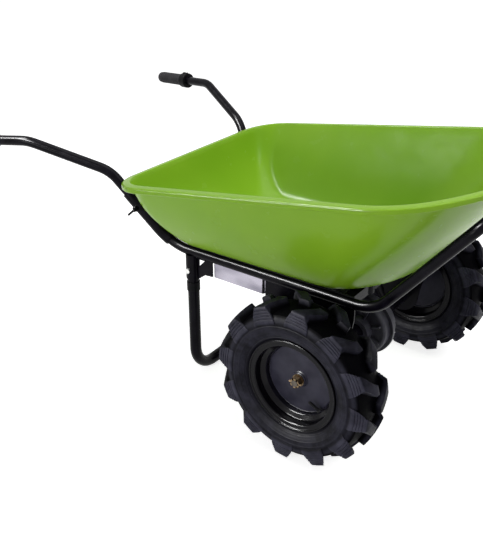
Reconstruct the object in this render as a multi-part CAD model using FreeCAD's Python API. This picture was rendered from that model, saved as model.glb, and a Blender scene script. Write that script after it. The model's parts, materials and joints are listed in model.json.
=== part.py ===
import FreeCAD, Part
import math
import os

from FreeCAD import Matrix, Vector

# Power wheelbarrow: a pressed tray on a bent tube frame, carried by two driven
# wheels and a U-shaped stand. Millimetres. +X is forward, towards the tray's nose,
# +Y is the left side of someone who pushes it, +Z is up and the ground is Z = 0.
# Places along X are measured from the wheel axle. Every finished piece is then moved
# by AXLE_X, which puts the origin on the ground below the middle of the whole barrow.

# ---------------------------------------------------------------- driving sizes

# tyres, 4.00-8
TYRE_RADIUS = 205.0
TYRE_HALF_WIDTH = 51.0
TYRE_TREAD_DEPTH = 18.0
TYRE_SHOULDER_DROP = 27.0
TYRE_SHOULDER_HALF = 44.0
TYRE_WALL = 7.0
BEAD_RADIUS = 101.6
BEAD_TOP_RADIUS = 116.0
TRACK_HALF = 306.0
LUG_COUNT = 12
LUG_WIDTH = 24.0
LUG_TAPER = 3.0
LUG_LEAD = 46.0
LUG_CENTRE_REACH = 5.0
LUG_ELBOW_REACH = 12.0
LUG_ELBOW_SHIFT = 4.2
LUG_ELBOW_FLARE = 1.15
LUG_END_FLARE = 1.3
LUG_END_SINK = 3.0
LUG_END_WIDTH = 36.0
LUG_FOOT_WIDTH = 56.0
LUG_SHOULDER_DROP = 5.0
LUG_SHOULDER_RISE = 1.5
LUG_SIDE_RISE = 1.0
LUG_SIDE_DROP = 47.0
LUG_FOOT_DROP = 4.0
LUG_ROOT_DROP = 53.0
LUG_ROOT_INSET = 5.0
LUG_ROOT_SINK = 4.0
LUG_PHASE = 25.0

# rims
RIM_SHEET = 2.5
RIM_FLANGE_RADIUS = 115.4
RIM_FLANGE_HALF = 40.5
RIM_LIP = 2.5
RIM_EDGE = 1.2
RIM_WELL_RADIUS = 90.0
RIM_WELL_HALF = 11.0
RIM_SEAT_INNER = 19.0
DISC_SHEET = 3.0
BEAD_GAP = 0.3

# hubs, shafts and their bearings
HUB_RADIUS = 18.0
HUB_INBOARD = 60.0
HUB_OUTBOARD = 8.0
SHAFT_RADIUS = 10.0
SHAFT_FIT = 0.05
SHAFT_END_RADIUS = 8.0
SHAFT_END_LENGTH = 18.5
WASHER_RADIUS = 15.0
WASHER_THICKNESS = 2.5
NUT_FLATS = 24.0
NUT_HEIGHT = 15.0
NUT_BASE_RADIUS = 14.9
NUT_TOP_RADIUS = 12.0
NUT_SLOT_WIDTH = 4.5
NUT_SLOT_DEPTH = 5.0
PIN_RADIUS = 1.5
PIN_LENGTH = 32.0
PIN_GAP = 0.3
BEARING_WIDTH = 14.0
BEARING_RING = 3.0
BEARING_RECESS = 1.0
BEARING_FIT = 0.02
VALVE_RADIUS = 4.0
VALVE_LENGTH = 34.0
VALVE_CAP_LENGTH = 12.0
VALVE_CAP_RADIUS = 3.2
VALVE_LEAN = 0.9
VALVE_ROOT_GAP = 2.5
VALVE_ANGLE = -52.0
VALVE_PLACE_RADIUS = 84.0

# axle beam and drive
AXLE_TUBE_RADIUS = 24.0
AXLE_TUBE_WALL = 4.0
AXLE_HUB_GAP = 8.0
AXLE_FLANGE_RADIUS = 44.0
AXLE_FLANGE_THICKNESS = 6.0
AXLE_FLANGE_BOLTS = 4
AXLE_FLANGE_BOLT_CIRCLE = 34.0
HOUSING_HALF = 32.0
HOUSING_WALL = 5.0
HOUSING_AXLE_RADIUS = 72.0
HOUSING_MOTOR_RADIUS = 58.0
HOUSING_LIP = 9.0
HOUSING_LIP_THICKNESS = 5.0
HOUSING_ROUNDING = 8.0
HOUSING_NECK_RADIUS = 36.0
HOUSING_NECK_LENGTH = 24.0
HOUSING_SCREWS = 9
HOUSING_RIBS = 8
RIB_SHEET = 4.0
RIB_HEIGHT = 8.0
RIB_INSET = 8.0
SHAFT_HOUSING_GAP = 6.0
SCREW_FLATS = 7.0
SCREW_HEIGHT = 3.5
MOTOR_CENTRE_DISTANCE = 118.0
MOTOR_ELEVATION = 18.0
MOTOR_RADIUS = 52.0
MOTOR_LENGTH = 112.0
MOTOR_CAP_LENGTH = 26.0
MOTOR_CAP_CONE = 9.0
MOTOR_CAP_STEP = 10.0
MOTOR_BOSS_RADIUS = 18.0
MOTOR_BOSS_HEIGHT = 5.0
MOTOR_GROOVES = 16
MOTOR_GROOVE_WIDTH = 5.0
MOTOR_GROOVE_DEPTH = 2.0
MOTOR_BAND = 11.0

# frame tubes
TUBE_RADIUS = 12.7
TUBE_WALL = 1.8
RAIL_HALF_SPACING = 200.0
RAIL_HEIGHT = 374.0
RAIL_FRONT_X = 121.0
RAIL_FRONT_BEND = 95.0
RAIL_REAR_X = -462.0
RAIL_REAR_BEND = 110.0
HOOP_SHARE = 0.881
HOOP_GAP = 3.6
HOOP_BEND = 60.0
HOOP_JOINT_RISE = 186.0

# handles: reach of the two bends and the grip's end from the rail's rear foot
HANDLE_RIM_GAP = 40.0
HANDLE_LOW_SPREAD = 70.0
HANDLE_LOW_RISE = 193.0
HANDLE_HIGH_REACH = Vector(-191.0, 90.0, 66.0)
HANDLE_END_REACH = Vector(-239.0, 57.5, -25.0)
HANDLE_BEND = 90.0
HANDLE_JOINT_SHARE = 0.62
SLEEVE_RADIUS = 15.9
SLEEVE_BELOW = 30.0
SLEEVE_ABOVE = 85.0
WING_BOSS_RADIUS = 7.0
WING_BOSS_HEIGHT = 9.0
WING_SPREAD = 13.0
WING_LENGTH = 19.0
WING_SHEET = 3.0
WING_ROOT_SHARE = 0.4
WING_TIP_SHARE = 0.5
TUBE_FIT = 0.1

# grips and controls
GRIP_RADIUS = 16.5
GRIP_LENGTH = 124.0
GRIP_END_WALL = 4.0
GRIP_RIBS = 10
GRIP_RIB_HEIGHT = 1.2
GRIP_PLAIN_REAR = 14.0
GRIP_PLAIN_FRONT = 10.0
GRIP_FLANGE_RADIUS = 21.0
GRIP_FLANGE_THICKNESS = 4.0
POD_RADIUS = 23.0
POD_LENGTH = 27.0
POD_ROUNDING = 2.5
POD_GAP = 0.6
TURNING_FIT = 0.08
ROCKER_LENGTH = 17.0
ROCKER_WIDTH = 9.0
ROCKER_SINK = 1.0
ROCKER_TIP_HEIGHT = 3.5
ROCKER_MIDDLE_HEIGHT = 1.6
ROCKER_TIP_DEPTH = 1.2
ROCKER_ROOT_DEPTH = 3.2
ROCKER_FOOT_SHARE = 0.8
ROCKER_END_GAP = 1.2
ROCKER_SIDE_GAP = 0.5
ROCKER_POCKET_DEPTH = 6.5
ROCKER_PIN_RADIUS = 1.5
ROCKER_PIN_REACH = 2.0

# stand
STAND_SETBACK = 62.0
STAND_TOP_GAP = 2.0
LEG_RADIUS = 15.2
LEG_WALL = 2.0
LEG_BEND = 72.0
SOCKET_RADIUS = 18.0
SOCKET_DEPTH = 61.3
SOCKET_SADDLE = 6.0
SOCKET_NOTCH_WIDTH = 6.0
SOCKET_NOTCH_HEIGHT = 12.0
SOCKET_BOLT_DEPTH = 35.3
COLLAR_GAP = 10.0
COLLAR_HEIGHT = 25.0
COLLAR_RADIUS = 17.2
GUSSET_SHEET = 4.0
GUSSET_RISE = 18.0
GUSSET_MARGIN = 3.5
GUSSET_WINDOW_LENGTH = 19.0
GUSSET_WINDOW_HEIGHT = 20.0

# cross members, side plates
CROSS_SIZE = 25.0
CROSS_WALL = 2.0
CROSS_REAR_SETBACK = 40.0
CROSS_FRONT_X = 45.0
PLATE_SHEET = 4.0
PLATE_REAR_X = -172.0
PLATE_FRONT_X = 72.0
PLATE_REAR_DEPTH = 42.0
PLATE_FRONT_DEPTH = 30.0
PLATE_AXLE_REACH = 50.0
PLATE_HOLES = ((-104.0, 16.0), (-58.0, 20.0), (-8.0, 22.0))
PLATE_HOLE_DEPTH = 52.0
WELD_GAP = 0.15

# battery box
BOX_SHEET = 1.5
BOX_SETBACK = 65.0
BOX_LENGTH = 158.0
BOX_DEPTH = 41.3
BOX_CORNER = 9.0
LID_SHEET = 1.5
LID_RAIL_GAP = 2.0
PACK_GAP = 4.0
CABLE_ROOM = 34.0
PACK_CORNER = 5.0
CONTROLLER_WIDTH = 55.0
CONTROLLER_DROP = 8.0
CONTROLLER_FINS = 7
CONTROLLER_FIN_HEIGHT = 8.0
BOX_LID_GAP = 0.3
KEY_RADIUS = 9.0
KEY_DEPTH = 8.0
KEY_BAR_WIDTH = 4.0
KEY_BAR_HEIGHT = 6.0
KEY_STEM_RADIUS = 5.4
KEY_Y = -60.0
SOCKET_CAP_RADIUS = 11.0
SOCKET_CAP_DEPTH = 4.0
SOCKET_STEM_RADIUS = 8.8
SOCKET_TAB_WIDTH = 8.0
SOCKET_TAB_REACH = 5.0
SOCKET_CAP_Y = 60.0
STEM_REACH = 3.0

# tray
TRAY_SHEET = 1.5
FLOOR_ABOVE_RAIL = 6.0
FLOOR_HALF_WIDTH = 200.0
FLOOR_SETBACK = 22.0
FLOOR_FRONT_START = -37.0
FLOOR_REAR_CORNER = 75.0
FLOOR_FRONT_CORNER = 110.0
FLOOR_EDGE_RADIUS = 60.0
WALL_ANGLE = 62.0
EDGE_STEPS = 4
WALL_SHARES = (0.3, 0.5, 0.75)
RIM_OVERSHARE = 1.02
TRAY_DEPTH = 259.0
RIM_SLOPE = 0.157
RIM_HALF_WIDTH = 333.0
RIM_REAR_X = -560.0
RIM_FRONT_START = 120.0
RIM_REAR_CORNER = 100.0
RIM_FRONT_CORNER = 210.0
NOSE_TURN = 45.0
ROLL_RADIUS = 8.0
ROLL_DROP = 6.0
ROLL_SEAM = 0.25
DIMPLE_RADIUS = 17.0
DIMPLE_DEPTH = 6.0
DIMPLE_EDGE = 0.5
DIMPLE_SLOPE = 4.5
TRAY_BOLT_Y = 95.0
TRAY_BOLT_RADIUS = 4.0
BOLT_HEAD_RADIUS = 9.5
BOLT_HEAD_HEIGHT = 4.0
BOLT_HEAD_TOP_RADIUS = 5.7
BOLT_REACH = 10.0

# hexagon bolts
HEX_FLATS = 13.0
HEX_HEIGHT = 5.3
NUT_THICKNESS = 6.5

# how far a cutting shape runs past the metal it cuts
OVERCUT = 10.0

# ---------------------------------------------------------------- worked-out places

ORIGIN = Vector(0, 0, 0)
UP = Vector(0, 0, 1)
LEFT = Vector(0, 1, 0)
FORWARD = Vector(1, 0, 0)
AXLE = Vector(0, 0, TYRE_RADIUS)

TYRE_TREAD_BASE = TYRE_RADIUS - TYRE_TREAD_DEPTH
TYRE_SHOULDER_RADIUS = TYRE_RADIUS - TYRE_SHOULDER_DROP
TYRE_WAIST_RADIUS = (BEAD_TOP_RADIUS + TYRE_SHOULDER_RADIUS) / 2
LUG_SIDE_RADIUS = TYRE_RADIUS - LUG_SIDE_DROP
LUG_PITCH = 360.0 / LUG_COUNT

RAIL_UNDERSIDE = RAIL_HEIGHT - TUBE_RADIUS
FLOOR_HEIGHT = RAIL_HEIGHT + FLOOR_ABOVE_RAIL
RIM_HEIGHT = FLOOR_HEIGHT + TRAY_DEPTH
FLOOR_REAR_X = RAIL_REAR_X + FLOOR_SETBACK

STAND_X = RAIL_REAR_X + STAND_SETBACK
SOCKET_BOTTOM = RAIL_UNDERSIDE - SOCKET_DEPTH
SOCKET_BOLT_HEIGHT = RAIL_UNDERSIDE - SOCKET_BOLT_DEPTH
COLLAR_TOP = SOCKET_BOTTOM - COLLAR_GAP
CROSS_REAR_X = STAND_X + CROSS_REAR_SETBACK
BOX_REAR_X = STAND_X + BOX_SETBACK
BOX_FRONT_X = BOX_REAR_X + BOX_LENGTH
BOX_BOTTOM = RAIL_UNDERSIDE - BOX_DEPTH

FLANGE_Y = RAIL_HALF_SPACING + PLATE_SHEET / 2 + WELD_GAP
AXLE_TUBE_END = TRACK_HALF - HUB_INBOARD - AXLE_HUB_GAP
HOUSING_NECK_END = HOUSING_HALF + HOUSING_NECK_LENGTH

# rear foot of the left rail and the points where its handle bends and ends
HANDLE_FOOT = Vector(RAIL_REAR_X, RAIL_HALF_SPACING, RAIL_HEIGHT)
HANDLE_LOW = Vector(RIM_REAR_X - HANDLE_RIM_GAP,
                    RAIL_HALF_SPACING + HANDLE_LOW_SPREAD, RAIL_HEIGHT + HANDLE_LOW_RISE)
HANDLE_HIGH = HANDLE_LOW + HANDLE_HIGH_REACH
HANDLE_END = HANDLE_HIGH + HANDLE_END_REACH
HANDLE_JOINT = HANDLE_LOW + (HANDLE_FOOT - HANDLE_LOW) * HANDLE_JOINT_SHARE
HANDLE_DOWN = (HANDLE_FOOT - HANDLE_LOW).normalize()


def nose_reach(front_start, half_width, corner):
    """Furthest X of an outline whose corners turn by NOSE_TURN into one nose arc."""
    turn = math.radians(NOSE_TURN)
    end_y = half_width - corner * (1 - math.cos(turn))
    nose_radius = end_y / math.cos(turn)
    return front_start + corner * math.sin(turn) + nose_radius * (1 - math.sin(turn))


def tray_nose(share):
    """Foremost point of the tray wall at a share of its height, below the rolled rim."""
    edge = ROLL_RADIUS * 2 - TRAY_SHEET
    low = nose_reach(FLOOR_FRONT_START, FLOOR_HALF_WIDTH, FLOOR_FRONT_CORNER)
    high = nose_reach(RIM_FRONT_START, RIM_HALF_WIDTH - edge, RIM_FRONT_CORNER - edge)
    x = low + (high - low) * share
    return Vector(x, 0, FLOOR_HEIGHT + (TRAY_DEPTH + RIM_SLOPE * x) * share)


RIM_FRONT_X = nose_reach(RIM_FRONT_START, RIM_HALF_WIDTH, RIM_FRONT_CORNER)
AXLE_X = -(RIM_FRONT_X + HANDLE_END.x - GRIP_END_WALL) / 2
HOOP = tray_nose(HOOP_SHARE) + FORWARD * (TUBE_RADIUS + HOOP_GAP)
HOOP_JOINT_HEIGHT = RAIL_HEIGHT + HOOP_JOINT_RISE


def rail_front_point(height, side):
    """Centre of a sloped front tube at a height; side is 1 for the left one."""
    run = (HOOP.x - RAIL_FRONT_X) / (HOOP.z - RAIL_HEIGHT)
    return Vector(RAIL_FRONT_X + (height - RAIL_HEIGHT) * run, side * RAIL_HALF_SPACING, height)


def mirrored(shape):
    return shape.mirror(Vector(0, 0, 0), LEFT)


def moved(shape, offset):
    copy = shape.copy()
    copy.translate(offset)
    return copy


def turned(shape, centre, axis, degrees):
    copy = shape.copy()
    copy.rotate(centre, axis, degrees)
    return copy


def joined(shapes):
    whole = shapes[0].multiFuse(shapes[1:]) if len(shapes) > 1 else shapes[0]
    return whole.removeSplitter()


def cylinder(radius, start, end):
    axis = end - start
    return Part.makeCylinder(radius, axis.Length, start, axis)


def ring(outer, inner, start, end):
    return cylinder(outer, start, end).cut(cylinder(inner, start, end))


def block(low, high):
    return Part.makeBox(high.x - low.x, high.y - low.y, high.z - low.z, low)


def plate(points, thickness, normal):
    """Flat plate through the given corners, half its thickness to each side."""
    start = [p - normal * (thickness / 2) for p in points]
    face = Part.Face(Part.makePolygon(start + start[:1]))
    return face.extrude(normal * thickness)


def hexagon(flats, height, base, axis):
    """Hexagonal prism standing on base, along axis."""
    corner = flats / math.sqrt(3)
    points = [Vector(corner * math.cos(a), corner * math.sin(a), 0)
              for a in (math.radians(60 * k) for k in range(7))]
    prism = Part.Face(Part.makePolygon(points)).extrude(UP * height)
    prism.Placement = FreeCAD.Placement(base, FreeCAD.Rotation(UP, axis))
    return prism


def revolved(points, centre, axis=LEFT, degrees=360):
    """Solid turned from a closed outline of (along axis, radius) pairs."""
    corners = [Vector(0, s, r) for s, r in points]
    face = Part.Face(Part.makePolygon(corners + corners[:1]))
    return moved(face.revolve(Vector(0, 0, 0), axis, degrees), centre)


# ---------------------------------------------------------------- bent tubes

def bent_tube(points, bend, radius, wall):
    """Hollow tube along straight runs joined by arcs of one bend radius."""
    pieces = []
    start = points[0]
    for here, after, before in zip(points[1:-1], points[2:], points[:-2]):
        way_in = (here - before).normalize()
        way_out = (after - here).normalize()
        turn = way_in.getAngle(way_out)
        trim = bend * math.tan(turn / 2)
        arc_start = here - way_in * trim
        axis = way_in.cross(way_out).normalize()
        inward = axis.cross(way_in)
        centre = arc_start + inward * bend
        pieces.append(ring(radius, radius - wall, start, arc_start))
        section = Part.Face([Part.Wire(Part.Circle(arc_start, way_in, radius).toShape()),
                             Part.Wire(Part.Circle(arc_start, way_in, radius - wall).toShape())])
        section.validate()
        pieces.append(section.revolve(centre, axis, math.degrees(turn)))
        start = here + way_out * trim
    pieces.append(ring(radius, radius - wall, start, points[-1]))
    return joined(pieces)


def frame_rail():
    """Left rail, from the butt joint with the handle to the one with the nose hoop."""
    route = [HANDLE_JOINT, HANDLE_FOOT, rail_front_point(RAIL_HEIGHT, 1),
             rail_front_point(HOOP_JOINT_HEIGHT, 1)]
    middle = (route[1] + route[2]) / 2
    rear = bent_tube(route[:2] + [middle], RAIL_REAR_BEND, TUBE_RADIUS, TUBE_WALL)
    front = bent_tube([middle] + route[2:], RAIL_FRONT_BEND, TUBE_RADIUS, TUBE_WALL)
    return joined([rear, front])


def nose_hoop():
    route = [rail_front_point(HOOP_JOINT_HEIGHT, -1), rail_front_point(HOOP.z, -1),
             rail_front_point(HOOP.z, 1), rail_front_point(HOOP_JOINT_HEIGHT, 1)]
    return bent_tube(route, HOOP_BEND, TUBE_RADIUS, TUBE_WALL)


def handle_tube():
    return bent_tube([HANDLE_JOINT, HANDLE_LOW, HANDLE_HIGH, HANDLE_END],
                     HANDLE_BEND, TUBE_RADIUS, TUBE_WALL)


def handle_sleeve():
    high = HANDLE_JOINT - HANDLE_DOWN * SLEEVE_ABOVE
    low = HANDLE_JOINT + HANDLE_DOWN * SLEEVE_BELOW
    return ring(SLEEVE_RADIUS, TUBE_RADIUS + TUBE_FIT, high, low)


def wing_bolt():
    """Clamp bolt through the sleeve's rear side, with two flat wings."""
    out = LEFT.cross(HANDLE_DOWN).normalize()
    side = out.cross(HANDLE_DOWN).normalize()
    seat = HANDLE_JOINT - HANDLE_DOWN * (SLEEVE_ABOVE / 2) + out * (SLEEVE_RADIUS + WELD_GAP)
    top = seat + out * WING_BOSS_HEIGHT
    pieces = [cylinder(WING_BOSS_RADIUS, seat, top)]
    for way in (-1, 1):
        spread = side * (way * WING_SPREAD)
        points = [top - out, top - out + spread * WING_ROOT_SHARE,
                  top + spread + out * (WING_LENGTH - WING_SHEET),
                  top + spread * WING_TIP_SHARE + out * WING_LENGTH, top + out * WING_SHEET]
        pieces.append(plate(points, WING_SHEET, HANDLE_DOWN))
    return joined(pieces)


def cross_member(x):
    end = RAIL_HALF_SPACING - TUBE_RADIUS - WELD_GAP
    top = FLOOR_HEIGHT - WELD_GAP
    outer = block(Vector(x - CROSS_SIZE / 2, -end, top - CROSS_SIZE),
                  Vector(x + CROSS_SIZE / 2, end, top))
    inner_half = CROSS_SIZE / 2 - CROSS_WALL
    inner = block(Vector(x - inner_half, -end, top - CROSS_SIZE + CROSS_WALL),
                  Vector(x + inner_half, end, top - CROSS_WALL))
    bar = outer.cut(inner)
    for way in (-1, 1):
        seat = Vector(x, way * TRAY_BOLT_Y, 0)
        mouth = seat + UP * (top + CROSS_WALL)
        bar = bar.cut(cylinder(DIMPLE_RADIUS, seat + UP * (top - DIMPLE_DEPTH - CROSS_WALL), mouth))
        low = seat + UP * (top - CROSS_SIZE)
        high = seat + UP * (top - DIMPLE_DEPTH - WELD_GAP)
        bar = bar.fuse(cylinder(DIMPLE_RADIUS + CROSS_WALL, low, high))
        bar = bar.cut(cylinder(TRAY_BOLT_RADIUS + TUBE_FIT, low, high))
    return bar.removeSplitter()


# ---------------------------------------------------------------- stand

def stand():
    foot_z = LEG_RADIUS
    top = RAIL_UNDERSIDE - WELD_GAP - STAND_TOP_GAP
    route = [Vector(STAND_X, -RAIL_HALF_SPACING, top), Vector(STAND_X, -RAIL_HALF_SPACING, foot_z),
             Vector(STAND_X, RAIL_HALF_SPACING, foot_z), Vector(STAND_X, RAIL_HALF_SPACING, top)]
    return bent_tube(route, LEG_BEND, LEG_RADIUS, LEG_WALL)


def leg_socket():
    """Tube socket under the left rail, saddled to it and notched at its foot."""
    base = Vector(STAND_X, RAIL_HALF_SPACING, 0)
    bottom = base + UP * SOCKET_BOTTOM
    rail_centre = base + UP * RAIL_HEIGHT
    reach = FORWARD * (SOCKET_RADIUS + OVERCUT)
    half_notch = LEFT * (SOCKET_NOTCH_WIDTH / 2)
    tube = ring(SOCKET_RADIUS, LEG_RADIUS + TUBE_FIT, bottom, rail_centre - UP * SOCKET_SADDLE)
    notch_low = bottom - reach - half_notch - UP * OVERCUT
    notch_high = bottom + half_notch + UP * SOCKET_NOTCH_HEIGHT
    notch = block(notch_low, notch_high)
    rail = cylinder(TUBE_RADIUS + WELD_GAP, rail_centre - reach, rail_centre + reach)
    return tube.cut(notch).cut(rail)


def leg_collar():
    base = Vector(STAND_X, RAIL_HALF_SPACING, 0)
    top = base + UP * COLLAR_TOP
    return ring(COLLAR_RADIUS, LEG_RADIUS + TUBE_FIT, top - UP * COLLAR_HEIGHT, top)


def stand_bolt():
    outer = Vector(STAND_X, RAIL_HALF_SPACING + SOCKET_RADIUS + WELD_GAP, SOCKET_BOLT_HEIGHT)
    return hexagon(HEX_FLATS, HEX_HEIGHT, outer, LEFT)


def gusset():
    """Pierced plate between the leg socket, the rail and the battery box."""
    y = RAIL_HALF_SPACING
    rear = STAND_X + SOCKET_RADIUS + WELD_GAP
    front = BOX_REAR_X - WELD_GAP
    top = RAIL_UNDERSIDE - WELD_GAP
    outline = [Vector(rear, y, SOCKET_BOTTOM), Vector((rear + front) / 2, y, SOCKET_BOTTOM + GUSSET_RISE),
               Vector(front, y, BOX_BOTTOM), Vector(front, y, top), Vector(rear, y, top)]
    corner = Vector(rear + GUSSET_MARGIN, y, top - GUSSET_MARGIN)
    window = [corner, corner - UP * GUSSET_WINDOW_HEIGHT, corner + FORWARD * GUSSET_WINDOW_LENGTH]
    return plate(outline, GUSSET_SHEET, LEFT).cut(plate(window, GUSSET_SHEET + OVERCUT, LEFT))


# ---------------------------------------------------------------- battery box

def rounded_box(low, high, corner):
    """Box whose upright corners are rounded."""
    shape = block(low, high)
    upright = [e for e in shape.Edges if abs(e.tangentAt(e.FirstParameter).z) > 0.99]
    return shape.makeFillet(corner, upright)


def box_limits(inset):
    half = RAIL_HALF_SPACING - inset
    low = Vector(BOX_REAR_X + inset, -half, BOX_BOTTOM + inset)
    high = Vector(BOX_FRONT_X - inset, half, RAIL_UNDERSIDE - BOX_LID_GAP)
    return low, high


def rear_fitting(y):
    """Middle of a fitting on the box's rear wall, at the given Y."""
    low, high = box_limits(0)
    return Vector(low.x, y, (low.z + high.z) / 2)


def battery_box():
    low, high = box_limits(0)
    inner_low, inner_high = box_limits(BOX_SHEET)
    shell = rounded_box(low, high, BOX_CORNER)
    space = rounded_box(inner_low, inner_high + UP * OVERCUT, BOX_CORNER - BOX_SHEET)
    box = shell.cut(space)
    for y, radius in ((KEY_Y, KEY_STEM_RADIUS), (SOCKET_CAP_Y, SOCKET_STEM_RADIUS)):
        place = rear_fitting(y)
        box = box.cut(cylinder(radius, place - FORWARD * BOX_SHEET, place + FORWARD * BOX_CORNER))
    return box


def battery_box_lid():
    inset = LEFT * (TUBE_RADIUS + LID_RAIL_GAP)
    low, high = box_limits(0)
    low.z = high.z + WELD_GAP
    return rounded_box(low + inset, high - inset + UP * (WELD_GAP + LID_SHEET), BOX_CORNER)


def controller_ends():
    """Right and left side of the controller, which lies against the box's left end."""
    low, high = box_limits(BOX_SHEET)
    return high.y - PACK_GAP - CONTROLLER_WIDTH, high.y - PACK_GAP


def battery_pack():
    """Battery block from the box's right end to the cable room beside the controller."""
    low, high = box_limits(BOX_SHEET)
    end_y = controller_ends()[0] - CABLE_ROOM
    shape = block(low + Vector(PACK_GAP, PACK_GAP, 0), Vector(high.x - PACK_GAP, end_y, high.z - PACK_GAP))
    return shape.makeFillet(PACK_CORNER, shape.Edges)


def controller():
    """Finned aluminium controller."""
    low, high = box_limits(BOX_SHEET)
    start_y, end_y = controller_ends()
    top = high.z - CONTROLLER_DROP
    body = block(Vector(low.x + PACK_GAP, start_y, low.z), Vector(high.x - PACK_GAP, end_y, top))
    pitch = CONTROLLER_WIDTH / CONTROLLER_FINS
    for k in range(CONTROLLER_FINS):
        slot_y = start_y + (k + 0.3) * pitch
        slot = block(Vector(low.x, slot_y, top - CONTROLLER_FIN_HEIGHT),
                     Vector(high.x, slot_y + pitch * 0.4, top + OVERCUT))
        body = body.cut(slot)
    return body


def key_switch():
    """Rotary power key: a round knob with a raised bar, on a stem in the box wall."""
    seat = rear_fitting(KEY_Y) - FORWARD * WELD_GAP
    knob = cylinder(KEY_RADIUS, seat, seat - FORWARD * KEY_DEPTH)
    half = KEY_BAR_WIDTH / 2
    bar = block(seat + Vector(-KEY_DEPTH - KEY_BAR_HEIGHT, -half, -KEY_RADIUS),
                seat + Vector(-KEY_DEPTH, half, KEY_RADIUS))
    stem = cylinder(KEY_STEM_RADIUS - TURNING_FIT, seat, seat + FORWARD * (BOX_SHEET + STEM_REACH))
    return joined([knob, bar, stem])


def charge_socket():
    seat = rear_fitting(SOCKET_CAP_Y) - FORWARD * WELD_GAP
    depth = SOCKET_CAP_DEPTH
    cap = cylinder(SOCKET_CAP_RADIUS, seat, seat - FORWARD * depth)
    stem = cylinder(SOCKET_STEM_RADIUS - TUBE_FIT, seat, seat + FORWARD * (BOX_SHEET + STEM_REACH))
    half = SOCKET_TAB_WIDTH / 2
    tab = block(seat + Vector(-depth, -half, SOCKET_STEM_RADIUS),
                seat + Vector(-depth / 2, half, SOCKET_CAP_RADIUS + SOCKET_TAB_REACH))
    return joined([cap, stem, tab])


# ---------------------------------------------------------------- axle and drive

def side_plate():
    """Plate that hangs from a rail and carries the axle tube."""
    y = RAIL_HALF_SPACING
    top = RAIL_UNDERSIDE - WELD_GAP
    outline = [Vector(PLATE_REAR_X, y, top), Vector(PLATE_REAR_X, y, top - PLATE_REAR_DEPTH),
               Vector(-PLATE_AXLE_REACH, y, TYRE_RADIUS), Vector(PLATE_AXLE_REACH, y, TYRE_RADIUS),
               Vector(PLATE_FRONT_X, y, top - PLATE_FRONT_DEPTH), Vector(PLATE_FRONT_X, y, top)]
    body = plate(outline, PLATE_SHEET, LEFT)
    half = LEFT * (PLATE_SHEET / 2)
    through = LEFT * OVERCUT
    middle = AXLE + LEFT * y
    body = body.fuse(cylinder(PLATE_AXLE_REACH, middle - half, middle + half))
    body = body.cut(cylinder(AXLE_TUBE_RADIUS + TUBE_FIT, middle - through, middle + through))
    for x, radius in PLATE_HOLES:
        hole = Vector(x, y, top - PLATE_HOLE_DEPTH)
        body = body.cut(cylinder(radius, hole - through, hole + through))
    return body.removeSplitter()


def axle_tube():
    """Axle beam half with its bolting flange, from the gear housing to the hub."""
    bore = AXLE_TUBE_RADIUS - AXLE_TUBE_WALL
    tube = ring(AXLE_TUBE_RADIUS, bore, AXLE + LEFT * HOUSING_NECK_END, AXLE + LEFT * AXLE_TUBE_END)
    flange = ring(AXLE_FLANGE_RADIUS, bore,
                  AXLE + LEFT * FLANGE_Y, AXLE + LEFT * (FLANGE_Y + AXLE_FLANGE_THICKNESS))
    return joined([tube, flange])


def flange_bolts():
    """Hexagon heads on the outer face of the left axle flange."""
    seat = AXLE + LEFT * (FLANGE_Y + AXLE_FLANGE_THICKNESS + WELD_GAP) + UP * AXLE_FLANGE_BOLT_CIRCLE
    heads = []
    for k in range(AXLE_FLANGE_BOLTS):
        angle = 360.0 * (k + 0.5) / AXLE_FLANGE_BOLTS
        heads.append(turned(hexagon(HEX_FLATS, HEX_HEIGHT, seat, LEFT), AXLE, LEFT, angle))
    return heads


def motor_centre():
    angle = math.radians(MOTOR_ELEVATION)
    return AXLE + Vector(-math.cos(angle), 0, math.sin(angle)) * MOTOR_CENTRE_DISTANCE


def tangent_outline(first, first_radius, second, second_radius, y):
    """Belt-shaped wire round two circles in the plane at y."""
    line = second - first
    reach = line.Length
    heading = math.atan2(line.z, line.x)
    lean = math.acos((first_radius - second_radius) / reach)

    def on(centre, radius, angle):
        return Vector(centre.x + radius * math.cos(angle), y, centre.z + radius * math.sin(angle))

    upper, lower = heading + lean, heading - lean
    edges = [
        Part.Arc(on(first, first_radius, upper), on(first, first_radius, heading + math.pi),
                 on(first, first_radius, lower)).toShape(),
        Part.LineSegment(on(first, first_radius, lower), on(second, second_radius, lower)).toShape(),
        Part.Arc(on(second, second_radius, lower), on(second, second_radius, heading),
                 on(second, second_radius, upper)).toShape(),
        Part.LineSegment(on(second, second_radius, upper), on(first, first_radius, upper)).toShape(),
    ]
    return Part.Wire(edges)


def housing_block(grow, start, end):
    outline = tangent_outline(AXLE, HOUSING_AXLE_RADIUS + grow,
                              motor_centre(), HOUSING_MOTOR_RADIUS + grow, start)
    return Part.Face(outline).extrude(LEFT * (end - start))


def gear_housing():
    """Left half of the split gear case, with the neck that meets the axle tube."""
    split = WELD_GAP / 2
    shell = housing_block(0, split, HOUSING_HALF)
    outer_edges = [e for e in shell.Edges if abs(e.CenterOfMass.y - HOUSING_HALF) < WELD_GAP]
    shell = shell.makeFillet(HOUSING_ROUNDING, outer_edges)
    lip = housing_block(HOUSING_LIP, split, HOUSING_LIP_THICKNESS)
    neck = cylinder(HOUSING_NECK_RADIUS, AXLE + LEFT * split, AXLE + LEFT * (HOUSING_NECK_END - WELD_GAP))
    body = joined([shell, lip, neck])
    body = body.cut(housing_block(-HOUSING_WALL, -OVERCUT, HOUSING_HALF - HOUSING_WALL))
    bore_end = AXLE + LEFT * (HOUSING_NECK_END + OVERCUT)
    body = body.cut(cylinder(AXLE_TUBE_RADIUS - AXLE_TUBE_WALL, AXLE, bore_end))
    return body.removeSplitter()


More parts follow.
